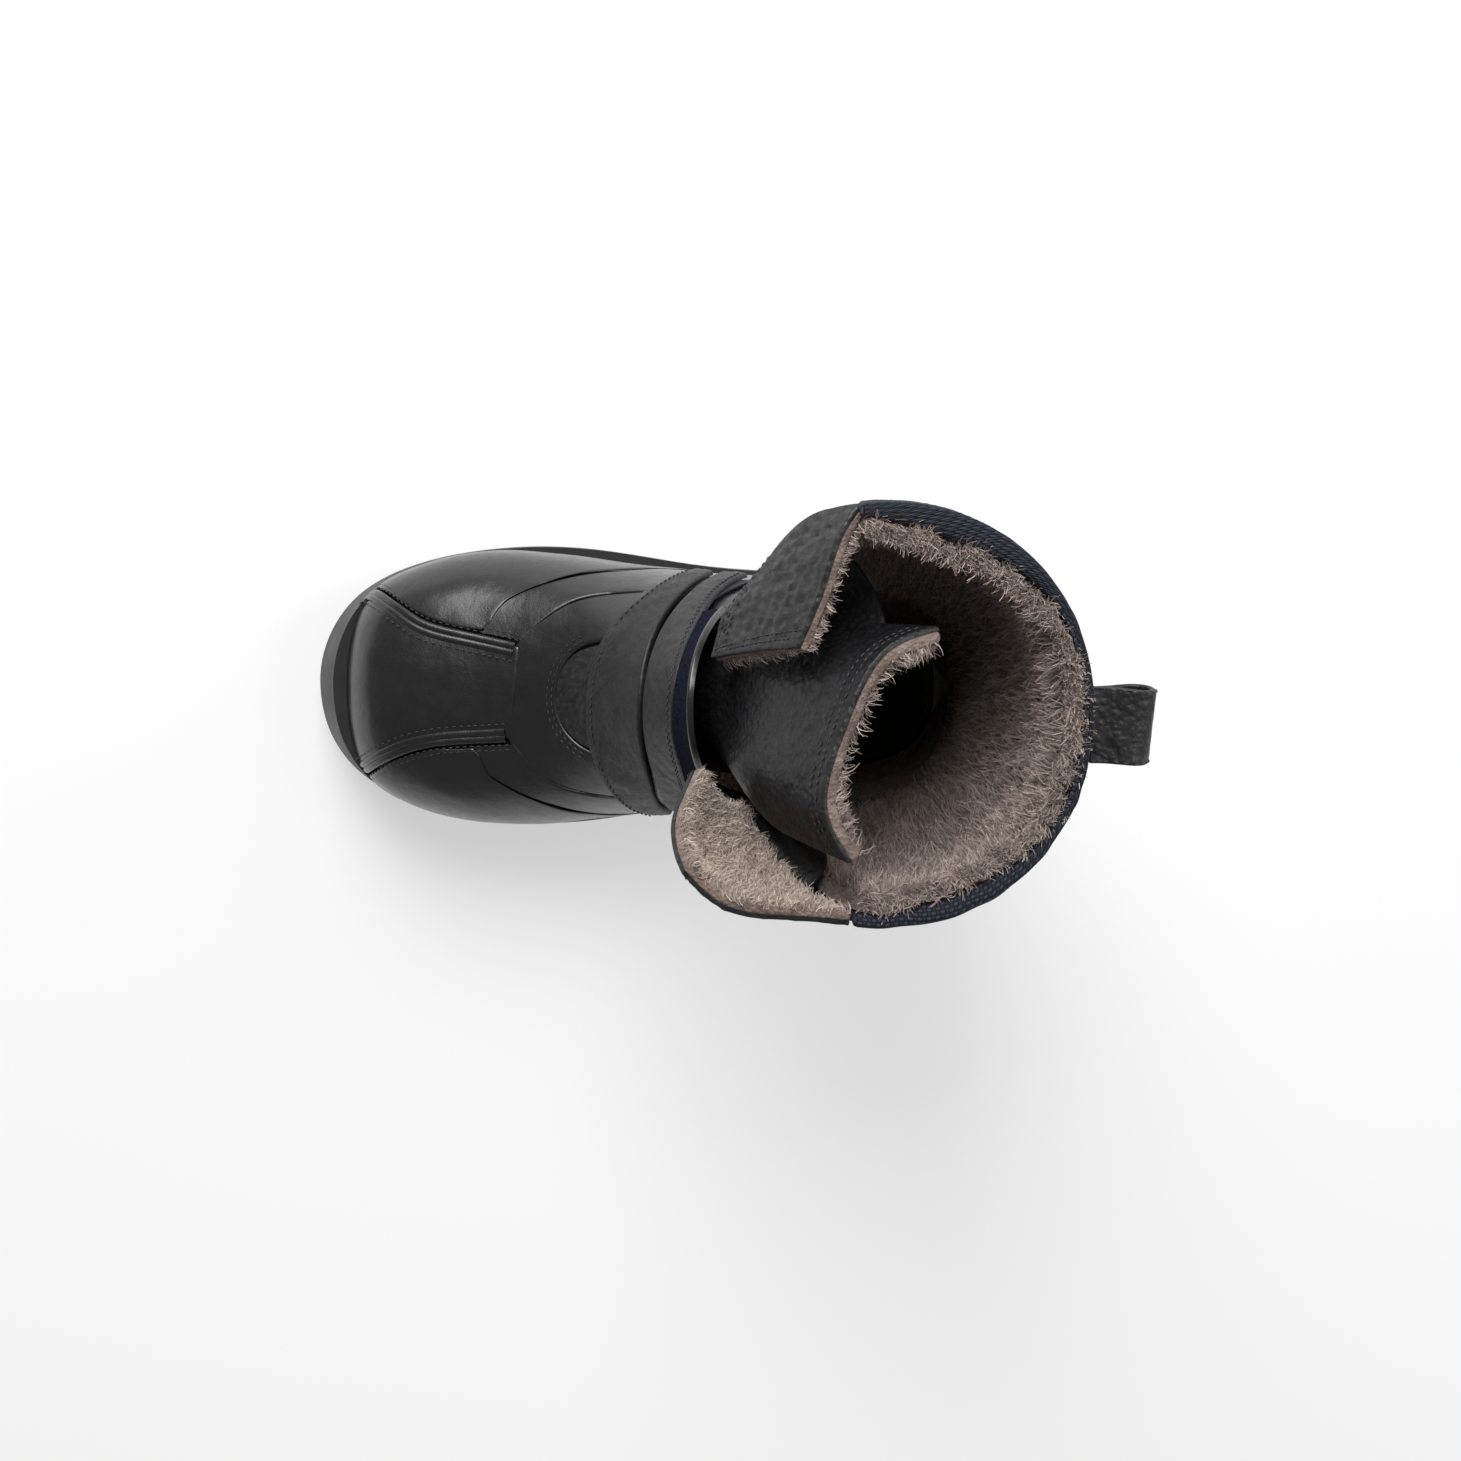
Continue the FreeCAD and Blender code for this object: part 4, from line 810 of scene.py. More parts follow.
def build_wing(node, front, rear, side):
    """The leather wing beside the apron, down to the sole."""
    bottom = lower_path(front[-1][0], rear[-1][0], side)
    first = path(front[:-1] + [tuple(bottom(0.0))])
    last = path(rear[:-1] + [tuple(bottom(1.0))])
    region = patch(first, last, straight(front[0], rear[0]), bottom)
    item = panel(node + "_leather", region, (75.0, 60.0), 0.75, LEATHER + 0.3, material("smooth_leather"),
                 radius=1.1, relief=soft(0.14, (34.0, 15.0), 5), edges=(1, 0, 1, 1))
    settle(item, "boot", "smooth_leather", node)


def build_band(node, front, rear, side):
    """The narrow band behind a wing, tucked under it."""
    low = (front[-1][0], side * lowest(front[-1][0]))
    tucked = shifted(front[:-1] + [low], -TUCK)
    region = patch(path(tucked), path(rear), straight(tucked[0], rear[0]), straight(low, rear[-1]))
    item = panel(node + "_leather", region, (75.0, 20.0), 0.3, LEATHER, material("smooth_leather"),
                 relief=soft(0.1, (30.0, 12.0), 7), edges=(0, 0, 0, 1))
    settle(item, "boot", "smooth_leather", node)


def build_throat():
    region = between(shifted(THROAT_FRONT, -TUCK), THROAT_ARC)
    item = panel("throat_leather", region, (150.0, 18.0), -0.05, LEATHER - 0.2,
                 material("smooth_leather"), radius=1.0, relief=soft(0.12, (24.0, 10.0), 11),
                 edges=(0, 0, 0, 1))
    settle(item, "boot", "smooth_leather", "throat_panel")
    for aside in (1.6, 3.4):
        sew("boot", seam_run(THROAT_ARC, 0.22, -aside, 2.2, (0.2, 0.8)))
    region = between(shifted(INSERT_FRONT, -0.12), [(8.6, -0.152), (8.6, 0.152)])
    item = panel("throat_insert_leather", region, (70.0, 50.0), -0.55, LEATHER - 0.6,
                 material("grain_leather"), relief=soft(0.15, (16.0, 7.0), 13), edges=(0, 0, 0, 0))
    settle(item, "boot", "smooth_leather", "throat_insert")


def quarter_region():
    low = (8.0, lowest(8.0))
    top = path([(7.8, 0.163), (9.0, 0.168), (10.1, 0.18), (QUARTER_TOP, 0.205)])
    under = path([low] + [(u, lowest(u)) for u in (8.4, 8.85, HEEL_SIDE[0][0])] + HEEL_SIDE[1:])
    front = path([(7.8, 0.163), (7.82, 0.318), (7.86, 0.45), (7.93, 0.62), low])
    rear = straight((QUARTER_TOP, 0.205), HEEL_SIDE[-1])
    return patch(top, under, front, rear)


def build_quarters():
    """The two leather sides and the heel cap with its stitches."""
    region = quarter_region()
    for name, side in (("lateral", -1.0), ("medial", 1.0)):
        item = panel(f"quarter_{name}_leather", sides(region, side), (60.0, 70.0), 0.05, LEATHER,
                     material("smooth_leather"), relief=soft(0.18, (22.0, 10.0), 17), edges=(0, 1, 0, 0))
        settle(item, "boot", "smooth_leather", f"quarter_{name}")
    near = shifted(HEEL_SIDE, 0.0, HEEL_LAP)
    near[0] = (HEEL_SIDE[0][0], lowest(HEEL_SIDE[0][0]) + HEEL_LAP)
    far = [(u, 2.0 - v) for u, v in near]
    top = path([near[-1], (11.5, 0.82), (11.6, 1.0), (11.5, 1.18), far[-1]])
    places = np.linspace(near[0][1], 2.0 - near[0][1], 11)
    bottom = path([(seat_place(v), v) for v in places])
    region = patch(path(near), path(far), bottom, top)
    item = panel("heel_cap_leather", region, (60.0, 90.0), 0.5, LEATHER + 0.2, material("smooth_leather"),
                 relief=soft(0.12, (26.0, 12.0), 19), edges=(0, 1, 1, 1))
    settle(item, "boot", "smooth_leather", "heel_cap")
    for inset in (0.02, 0.032):
        rim = shifted(near[1:], 0.0, inset)
        sew("boot", seam_run(rim, 0.62, 0.0, THREAD_STEP))
        sew("boot", seam_run([(u, 2.0 - v) for u, v in rim], 0.62, 0.0, THREAD_STEP))


def seat_place(v):
    """Where along the heel the upper's lower edge crosses a share of the girth."""
    share = v if v <= 1.0 else 2.0 - v
    low, high = 8.5, 11.0
    for _ in range(HALVINGS):
        middle = (low + high) / 2.0
        if float(surface(middle, share)[..., 2]) > UPPER_EDGE + EDGE_LIFT:
            high = middle
        else:
            low = middle
    return high


# Shaft and collar
def textile_region():
    front = path(COLLAR_FRONT[:-1] + [(COLLAR_LINE - 0.05, 0.45)])
    back = straight((11.7, 1.0), (COLLAR_LINE - 0.05, 1.0))
    low = path([(11.1, 0.205), (11.13, 0.4), (11.13, 0.63), (11.45, 0.82), (11.5, 1.0)])
    high = straight((COLLAR_LINE - 0.05, 0.45), (COLLAR_LINE - 0.05, 1.0))
    return patch(front, back, low, high)


def build_textile():
    """The woven shaft's two halves and the strip over its back seam."""
    region = textile_region()
    for name, side in (("lateral", -1.0), ("medial", 1.0)):
        item = panel(f"shaft_weave_{name}", sides(region, side), (70.0, 110.0), -0.1, TEXTILE,
                     material("woven_fabric"), crown=0.0, relief=soft(0.5, (45.0, 24.0), 23),
                     edges=(0, 0, 0, 0))
        settle(item, "boot", "woven_fabric", f"shaft_textile_{name}")
    seam = between([(11.62, 0.955), (14.75, 0.965)], [(11.62, 1.045), (14.75, 1.035)])
    item = panel("backstay_leather", seam, (70.0, 16.0), 1.5, 1.4, material("grain_leather"), radius=0.7)
    settle(item, "boot", "smooth_leather", "backstay")
    for across in (0.963, 1.037):
        sew("boot", seam_run([(11.8, across), (14.6, across)], 1.72, 0.0, THREAD_STEP))


def build_hem():
    """The collar's woven hem, rolled over the edge of the shaft."""
    region = between([(14.66, 0.452), (15.02, 0.452)], [(14.66, 1.548), (15.02, 1.548)])
    item = panel("collar_hem", region, (6.0, 240.0), 0.75, 2.4, material("woven_fabric"), radius=1.0,
                 step=1.5, crown=0.1, relief=soft(0.35, (30.0, 12.0), 29))
    settle(item, "boot", "woven_fabric", "collar_binding")
    stations = [(14.76, v) for v in np.linspace(0.46, 1.54, 25)]
    sew("boot", seam_run(stations, 0.85, 0.0, THREAD_STEP))


def rim_turn(v):
    """How far in mm the hem turns in over the rim: most on the outer rear side."""
    outer = 5.2 * np.exp(-((v - 1.38) / 0.16) ** 2)
    inner = 3.4 * np.exp(-((v - 0.62) / 0.16) ** 2)
    return 1.0 + outer + inner


def build_rim():
    """The woven hem where it turns in over the top of the shaft."""
    v = np.linspace(0.458, 1.542, 150)
    share = np.linspace(0.0, 1.0, 13)
    s, t = np.meshgrid(share, v, indexing="ij")
    out = np.minimum(s / RIM_SHARE, 1.0)
    over = np.maximum((s - RIM_SHARE) / (1.0 - RIM_SHARE), 0.0)
    place_u = COLLAR - 0.3 * (1.0 - out)
    height = 0.9 - (0.9 + rim_turn(t)) * over
    points = skin(place_u, t, height) + 0.25 * waves(surface(place_u, t), (14.0, 7.0), 31)[..., None]
    points[..., 2] += 1.5 * np.sin(np.pi * 0.5 * (0.3 * out + over)) - 1.2 * over ** 3
    under = points - np.array([0.0, 0.0, 0.9])
    around = run_lengths(points, 1)[0]
    across = run_lengths(points, 0)[0]
    item = slab_object("collar_rim_weave", points, under, material("woven_fabric"),
                       np.stack([around, across], axis=-1) / UV_MM, 60.0)
    settle(item, "boot", "woven_fabric")


# Straps
def strap_lift(s):
    """How far a strap stands off the foot: more at its free outer end."""
    return FREE_LIFT + (SEWN_LIFT - FREE_LIFT) * np.clip(s - LIFT_START, 0.0, None) / (1.0 - LIFT_START)


def build_strap(name, front, rear, body, node, seed, begin=0.0, end=1.0, finish="strap_leather",
                extra=0.0, thickness=STRAP, amount=0.28):
    """A strap or tape between two seams, or the part of it from begin to end; gives its whole region."""
    whole = between(front, rear)

    def region(s, t):
        return whole(begin + (end - begin) * s, t)

    def top(s):
        return strap_lift(begin + (end - begin) * s) + STRAP + extra

    item = panel(name, region, (STRAP_LENGTH * (end - begin), STRAP_WIDTH), top, thickness,
                 material(finish), radius=0.8, step=1.2, crown=0.3, relief=strap_relief(amount, seed))
    settle(item, body, "loop_pile" if finish == "loop_pile" else "smooth_leather", node)
    return whole


def strap_relief(amount, seed):
    """Soft wandering wrinkles, strongest in the middle of the strap and gone at its edges."""
    def relief(points, distances):
        inner = np.minimum(np.minimum(distances[2], distances[3]) / 5.0, 1.0)
        slow = waves(points, (17.0, 9.0), seed)
        fine = waves(points * np.array([1.0, 2.2, 1.0]), (5.0,), seed + 1)
        return inner * amount * (slow + 0.5 * fine)

    return relief


def strap_row(region, across, body):
    """A stitch row along a strap at a share of its width."""
    share = np.linspace(*STRAP_ROW, 12)
    place = region(share, np.full(share.shape, across))
    stations = [tuple(p) for p in place]
    points, along, out = seam_run(stations, 0.0, 0.0, 2.3)
    lifts = strap_lift(np.linspace(*STRAP_ROW, len(points))) + STRAP + 0.33
    sew(body, (points + out * lifts[:, None], along, out))


def build_straps(wrinkle):
    lower = build_strap("lower_strap_leather", STRAP_FRONT, shifted(STRAP_PARTING, -PARTING / 2.0),
                        "lower_strap", "lower_strap", 41, amount=wrinkle)
    rear = shifted(STRAP_REAR, -TAPE_SHOWN)
    upper = build_strap("upper_strap_leather", shifted(STRAP_PARTING, PARTING / 2.0), rear, "upper_strap",
                        "upper_strap", 43, amount=wrinkle)
    build_strap("upper_strap_pile", shifted(rear, -0.05), TAPE_REAR, "upper_strap", "upper_strap_tape",
                47, begin=0.24, end=0.82, finish="loop_pile", extra=-0.3, thickness=STRAP - 0.3,
                amount=0.15)
    strap_row(upper, 0.86, "upper_strap")
    strap_row(upper, 0.80, "upper_strap")
    strap_row(lower, 0.12, "lower_strap")
    build_tape_bead()


def build_tape_bead():
    """The bead of leather along the rear edge of the tape."""
    share = np.linspace(*TAPE_BEAD, 30)
    stations = [tuple(p) for p in between(STRAP_REAR, TAPE_REAR)(share, np.full(share.shape, 0.99))]
    points, along, out = seam_run(stations, 0.0, 0.0, 1.0)
    lifts = strap_lift(np.linspace(*TAPE_BEAD, len(points))) + STRAP - 0.5
    bead = tube("upper_strap_piping", points + out * lifts[:, None], along, out, half_round(0.8, 0.9),
                material("smooth_leather"))
    settle(bead, "upper_strap", "smooth_leather")


# Flaps and tongue
def free_rows(rows, start=None):
    """Control rows in millimetres, with the points of a seam put before them where there is one."""
    table = np.array(rows, float) * np.array([SHAFT_WIDTH, SOLE_LENGTH, BOOT_HEIGHT])
    if start is not None:
        table = np.concatenate([start[:, None, :], table], axis=1)
    return table


def flap_rows(side, rows):
    """A flap's control rows from its seam on the shaft to its free edge."""
    place = path(COLLAR_FRONT[2:])(np.linspace(0.0, 1.0, 5))
    if len(rows) > len(place):
        place = np.concatenate([[FLAP_CORNER], place])
    seam = surface(place[:, 0], side * (place[:, 1] - 0.2 * FLAP_SEAM))
    return free_rows(rows, seam)


def tongue_rows():
    """The tongue's control rows: three hidden under the straps, then the free ones."""
    hidden = []
    for u, depth in ((8.48, 2.2), (9.5, 3.8), (10.5, 6.2)):
        hidden.append(skin(u, np.array([-0.15, -0.08, 0.0, 0.08, 0.15]), -depth))
    return np.concatenate([np.array(hidden), free_rows(TONGUE_ROWS)])


def sheet_grid(rows, s, t):
    """Points of the smooth sheet through control rows, at shares s along them and t across them."""
    count_s, count_t = rows.shape[:2]
    across = spline(np.swapaxes(rows, 0, 1).reshape(count_t, -1), t * (count_t - 1.0))
    across = across.reshape(len(t), count_s, 3)
    grid = spline(np.swapaxes(across, 0, 1).reshape(count_s, -1), s * (count_s - 1.0))
    return grid.reshape(len(s), len(t), 3)


def grid_normals(grid):
    normal = np.cross(np.gradient(grid, axis=0), np.gradient(grid, axis=1))
    return normal / np.linalg.norm(normal, axis=-1, keepdims=True)


def sheet_piece(name, rows, near, far, finish, relief=None, edges=(1, 1, 1, 1), far_relief=None):
    """A sheet between two depths below control rows, with rolled edges and reliefs on its two sides."""
    rough = sheet_grid(rows, np.linspace(0.0, 1.0, 20), np.linspace(0.0, 1.0, 20))
    sizes = (run_lengths(rough, 0)[0][-1].max(), run_lengths(rough, 1)[0][:, -1].max())
    places = [spaced(size, EDGE_RADII * SHEET_RADIUS, SHEET_STEP) for size in sizes]
    grid = sheet_grid(rows, *places)
    normal = grid_normals(grid)
    distances = [*run_lengths(grid, 0), *run_lengths(grid, 1)]
    drop = np.zeros(grid.shape[:2])
    for wanted, distance in zip(edges, distances):
        if wanted:
            drop += rounded(distance, SHEET_RADIUS)
    way = 1.0 if far > near else -1.0
    outer = near + way * drop
    if relief is not None:
        outer = outer - way * relief(grid, distances)
    inner = np.full(grid.shape[:2], float(far))
    if far_relief is not None:
        inner = inner + way * (far_relief(grid, distances) - drop)
    uv = np.stack([distances[2], distances[0]], axis=-1) / UV_MM
    return slab_object(name, grid + normal * outer[..., None], grid + normal * inner[..., None],
                       material(finish), uv)


def grain_folds(amount, seed):
    """Long folds down a flap, soft and uneven, that die out at its edges."""
    def relief(points, distances):
        inner = np.minimum(np.minimum.reduce(distances) / 4.0, 1.0)
        slow = waves(points * np.array([1.6, 1.6, 0.5]), (9.0, 5.0), seed)
        fine = waves(points * np.array([1.3, 1.3, 0.35]), (2.8,), seed + 1)
        return inner * amount * (0.7 * slow + 0.6 * fine)

    return relief


def wool_lumps(amount, seed):
    """Lumps of pile, low near the edges."""
    def relief(points, distances):
        inner = np.minimum(np.minimum.reduce(distances) / 2.5, 1.0)
        lumps = waves(points, (9.0, 5.0), seed) + 0.5 * waves(points, (2.6,), seed + 1)
        return amount * (0.35 + 0.65 * inner) * lumps

    return relief


def sheet_row(rows, fixed, along_rows, depth, side, body):
    """A stitch row on a sheet: along its rows (at a share across) or across them (at a share along).
    side is -1 where the leather lies on the sheet's upper side, and +1 where it lies on the lower one."""
    run = np.linspace(0.02, 0.98, 120)
    still = np.array([fixed - 0.01, fixed, fixed + 0.01])
    if along_rows:
        grid = sheet_grid(rows, run, still)
        points, normal = grid[:, 1], grid_normals(grid)[:, 1]
    else:
        grid = sheet_grid(rows, still, run)
        points, normal = grid[1], grid_normals(grid)[1]
    out = normal * side
    total = np.concatenate([[0.0], np.cumsum(np.linalg.norm(np.diff(points, axis=0), axis=1))])
    places = np.arange(SHEET_THREAD_STEP, total[-1], SHEET_THREAD_STEP)
    points = np.stack([np.interp(places, total, points[:, k]) for k in range(3)], axis=1)
    out = np.stack([np.interp(places, total, out[:, k]) for k in range(3)], axis=1)
    out /= np.linalg.norm(out, axis=1, keepdims=True)
    sew(body, (points + out * (abs(depth) + 0.12), frames_along(points, out), out))


def build_gussets():
    """The soft webs between the tongue's edges and the front edges of the shaft."""
    tongue = tongue_rows()
    for name, side, t in (("lateral", -1.0, 0.03), ("medial", 1.0, 0.97)):
        place = path(COLLAR_FRONT)(np.linspace(0.0, 0.72, 5))
        shaft = skin(place[:, 0], side * (place[:, 1] + 0.01), np.full(5, -1.4))
        tongue_edge = sheet_grid(tongue, np.linspace(0.42, 0.86, 5), np.array([t - 0.02, t]))[:, 1]
        tongue_edge = tongue_edge + np.array([0.0, 3.0, 0.0])
        middle = (shaft + tongue_edge) / 2.0 + np.array([0.0, 5.0, -5.0])
        rows = np.stack([shaft, middle, tongue_edge], axis=1)
        item = sheet_piece(f"gusset_{name}", rows, -0.4, 0.4, "grain_leather", edges=(0, 0, 0, 0))
        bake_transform(item)


def build_flaps():
    for name, side, rows, seed in (("lateral", -1.0, LATERAL_FLAP_ROWS, 53),
                                   ("medial", 1.0, MEDIAL_FLAP_ROWS, 59)):
        control = flap_rows(side, rows)
        body = f"{name}_flap"
        near, far = (0.0, FLAP_LEATHER) if side < 0 else (FLAP_LEATHER, 0.0)
        wool_near, wool_far = (FLAP_LEATHER - 0.1, FLAP_LEATHER + 2.4) if side < 0 else (0.1, -2.4)
        leather = sheet_piece(f"{name}_flap_leather", control, near, far, "wrinkled_leather",
                              grain_folds(0.6, seed), edges=(1, 1, 0, 1))
        settle(leather, body, "grain_leather", f"{name}_flap")
        bed = sheet_piece(f"{name}_flap_wool", control, wool_near, wool_far, "wool_bed",
                          far_relief=wool_lumps(0.5, seed + 3), edges=(1, 1, 0, 1))
        settle(bed, body, "wool_lining", f"{name}_flap_fur")
        for fixed in (0.945, 0.90):
            sheet_row(control, fixed, True, near, side, body)
        for fixed in (0.05, 0.1, 0.15):
            sheet_row(control, fixed, False, near, side, body)


def build_tongue():
    control = tongue_rows()
    leather = sheet_piece("tongue_leather", control, 0.0, TONGUE_LEATHER, "grain_leather",
                          grain_folds(0.3, 61))
    settle(leather, "tongue", "grain_leather", "tongue")
    bed = sheet_piece("tongue_wool", control, TONGUE_LEATHER + 0.05, TONGUE_LEATHER + TONGUE_FUR - 0.6,
                      "wool_bed", far_relief=wool_lumps(0.6, 67))
    settle(bed, "tongue", "wool_lining", "tongue_fur")
    for fixed in (0.972, 0.95):
        sheet_row(control, fixed, False, 0.0, -1.0, "tongue")


# Pull loop: its half thickness at the root and before the eye, its band and its turn, in mm and radians
LOOP_ROOT = 1.8
LOOP_NECK = 2.9
LOOP_BAND = 1.8
LOOP_EDGE = 0.6
LOOP_TWIST = math.radians(16.0)
LOOP_SEWN = slice(2, 34)


def loop_run(start, tip, middle, half):
    """The band's middle line seen from the side, from its upper root round the eye to its lower root."""
    reach = tip - start
    upper = [(0.0, LOOP_ROOT), (0.25, LOOP_NECK), (0.62, half), (0.93, 0.62 * half)]
    side_view = [(start + share * reach, middle + rise) for share, rise in upper]
    side_view += [(tip, middle)]
    side_view += [(start + share * reach, middle - rise) for share, rise in reversed(upper)]
    return spline(np.array(side_view), np.linspace(0.0, len(side_view) - 1.0, 70))


def loop_grid(run, inside, across, depth):
    """Points of the band at a depth under its outer side."""
    grid = np.empty((len(run), len(across), 3))
    grid[..., 0] = across[None, :]
    grid[..., 1] = run[:, None, 0] + inside[:, None, 0] * depth[None, :]
    grid[..., 2] = run[:, None, 1] + inside[:, None, 1] * depth[None, :]
    return grid


def twist(grid, start, reach, centre, middle):
    """Turns the loop about its own length, more towards its tip."""
    turn = LOOP_TWIST * np.clip((grid[..., 1] - start) / reach - 0.1, 0.0, 1.0) ** 1.5
    x, z = grid[..., 0] - centre, grid[..., 2] - middle
    grid[..., 0] = centre + x * np.cos(turn) + z * np.sin(turn)
    grid[..., 2] = middle + z * np.cos(turn) - x * np.sin(turn)


def sew_loop(outer):
    """The two stitch rows on the loop's upper side."""
    for share in (0.1, 0.9):
        column = int(share * (outer.shape[1] - 1))
        row = outer[LOOP_SEWN, column]
        out = np.cross(np.gradient(outer, axis=0), np.gradient(outer, axis=1))[LOOP_SEWN, column]
        out /= np.linalg.norm(out, axis=1, keepdims=True)
        out *= np.sign(out[:, 2:3].mean())
        spots = np.linspace(0, len(row) - 1, 10).astype(int)
        sew("pull_loop", (row[spots] + out[spots] * 0.15, frames_along(row, out)[spots], out[spots]))


def build_loop():
    """The pull loop: one band of grained leather folded into an eye."""
    low, high = (np.array(corner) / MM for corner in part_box("pull_loop"))
    start, tip = low[1], high[1]
    middle, half = (low[2] + high[2]) / 2.0, (high[2] - low[2]) / 2.0
    run = loop_run(start, tip, middle, half)
    ahead = np.gradient(run, axis=0)
    ahead /= np.linalg.norm(ahead, axis=1, keepdims=True)
    inside = np.stack([ahead[:, 1], -ahead[:, 0]], axis=1)
    across = spaced(high[0] - low[0], 1.3, 1.5) * (high[0] - low[0]) + low[0]
    edge = rounded(np.minimum(across - low[0], high[0] - across), LOOP_EDGE)
    outer = loop_grid(run, inside, across, edge)
    inner = loop_grid(run, inside, across, LOOP_BAND - edge)
    outer[..., 2] += 0.15 * waves(outer, (7.0, 3.0), 71)
    for grid in (outer, inner):
        twist(grid, start, tip - start, (low[0] + high[0]) / 2.0, middle)
    sew_loop(outer)
    item = slab_object("pull_loop_leather", outer, inner, material("grain_leather"))
    settle(item, "pull_loop", "grain_leather", "pull_loop")


# Wool: how far each kind of strand bends forward, and how it tapers and swings along its length
STRAND_CURLS = (0.55, 0.25, -0.35)
STRAND_TAPER = -0.6
STRAND_SWING = 3.6
SWING_SHARE = 0.35
STRAND_SIZES = (0.65, 1.2)
BED_DEPTHS = (1.9, 6.6)
STRAND_DEPTH = 6.0
RIM_STRANDS = 7000
SHEET_SAMPLES = 80


def start_tree(name, sizes):
    """An empty Geometry Nodes tree with its mesh input, its size inputs and its mesh output."""
    tree = bpy.data.node_groups.new(name, "GeometryNodeTree")
    tree.interface.new_socket("Geometry", in_out="INPUT", socket_type="NodeSocketGeometry")
    for key, value in sizes:
        socket = tree.interface.new_socket(key, in_out="INPUT", socket_type="NodeSocketFloat")
        socket.default_value = value
    tree.interface.new_socket("Geometry", in_out="OUTPUT", socket_type="NodeSocketGeometry")
    return tree, add(tree, "NodeGroupInput")


def turned_by(tree, *names):
    """The rotation that lays an instance's axes along two of its root point's direction attributes."""
    axes = [add(tree, "GeometryNodeInputNamedAttribute", {"Name": name}, data_type="FLOAT_VECTOR")
            for name in names]
    return add(tree, "FunctionNodeAxesToRotation", dict(enumerate(axes)))


def strand_ribbon(tree, curl, long, wide):
    """One ribbon that narrows, swings to its side and bends forward towards its tip."""
    ribbon = add(tree, "GeometryNodeMeshGrid",
                 {"Size X": wide, "Size Y": 1.0, "Vertices X": 2, "Vertices Y": 4})
    x = add(tree, "ShaderNodeSeparateXYZ", {0: add(tree, "GeometryNodeInputPosition")})
    share = add(tree, MATH, {0: x.node.outputs[1], 1: 0.5}, operation="ADD")
    taper = add(tree, MATH, {0: share, 1: STRAND_TAPER, 2: 1.0}, operation="MULTIPLY_ADD")
    narrow = add(tree, MATH, {0: x, 1: taper}, operation="MULTIPLY")
    angle = add(tree, MATH, {0: share, 1: STRAND_SWING}, operation="MULTIPLY")
    swing = add(tree, MATH, {0: angle}, operation="SINE")
    aside = add(tree, MATH, {0: swing, 1: curl * SWING_SHARE}, operation="MULTIPLY")
    side = add(tree, MATH, {0: aside, 1: long, 2: narrow}, operation="MULTIPLY_ADD")
    square = add(tree, MATH, {0: share, 1: 2.0}, operation="POWER")
    lean = add(tree, MATH, {0: square, 1: curl}, operation="MULTIPLY")
    forward = add(tree, MATH, {0: lean, 1: long}, operation="MULTIPLY")
    high = add(tree, MATH, {0: share, 1: long}, operation="MULTIPLY")
    place = add(tree, "ShaderNodeCombineXYZ", {0: forward, 1: side, 2: high})
    return add(tree, "GeometryNodeSetPosition", {"Geometry": ribbon, "Position": place})


def strand_tree(length, width, seed, finish):
    """Geometry Nodes: on each root point, one of the curled ribbons, turned and sized at random."""
    tree, entry = start_tree("wool_strands", (("Length", length), ("Width", width)))
    long, wide = entry.node.outputs["Length"], entry.node.outputs["Width"]
    turned = turned_by(tree, "out", "lean")
    index = add(tree, "GeometryNodeInputIndex")
    pick = add(tree, "FunctionNodeRandomValue",
               {4: 0, 5: len(STRAND_CURLS) - 1, "ID": index, "Seed": seed}, out=2, data_type="INT")
    size = add(tree, "FunctionNodeRandomValue",
               {2: STRAND_SIZES[0], 3: STRAND_SIZES[1], "ID": index, "Seed": seed + 1}, out=1,
               data_type="FLOAT")
    shade = add(tree, "FunctionNodeRandomValue", {"ID": index, "Seed": seed + 2}, out=1,
                data_type="FLOAT")
    joined = add(tree, "GeometryNodeJoinGeometry")
    for number, curl in enumerate(STRAND_CURLS):
        bent = strand_ribbon(tree, curl, long, wide)
        chosen = add(tree, "FunctionNodeCompare", {2: pick, 3: number}, data_type="INT",
                     operation="EQUAL")
        placed = add(tree, "GeometryNodeInstanceOnPoints",
                     {"Points": entry, "Selection": chosen, "Instance": bent, "Rotation": turned,
                      "Scale": size})
        tree.links.new(placed, joined.node.inputs[0])
    marked = add(tree, "GeometryNodeStoreNamedAttribute",
                 {"Geometry": joined, "Name": "shade", "Value": shade}, data_type="FLOAT",
                 domain="INSTANCE")
    return end_tree(tree, marked, finish)


def end_tree(tree, instances, finish):
    """Makes the instances real, gives them their material and closes the tree."""
    real = add(tree, "GeometryNodeRealizeInstances", {"Geometry": instances})
    real = add(tree, "GeometryNodeSetShadeSmooth", {"Geometry": real})
    done = add(tree, "GeometryNodeSetMaterial", {"Geometry": real, "Material": material(finish)})
    closing = tree.nodes.new("NodeGroupOutput")
    tree.links.new(done, closing.inputs[0])
    return tree


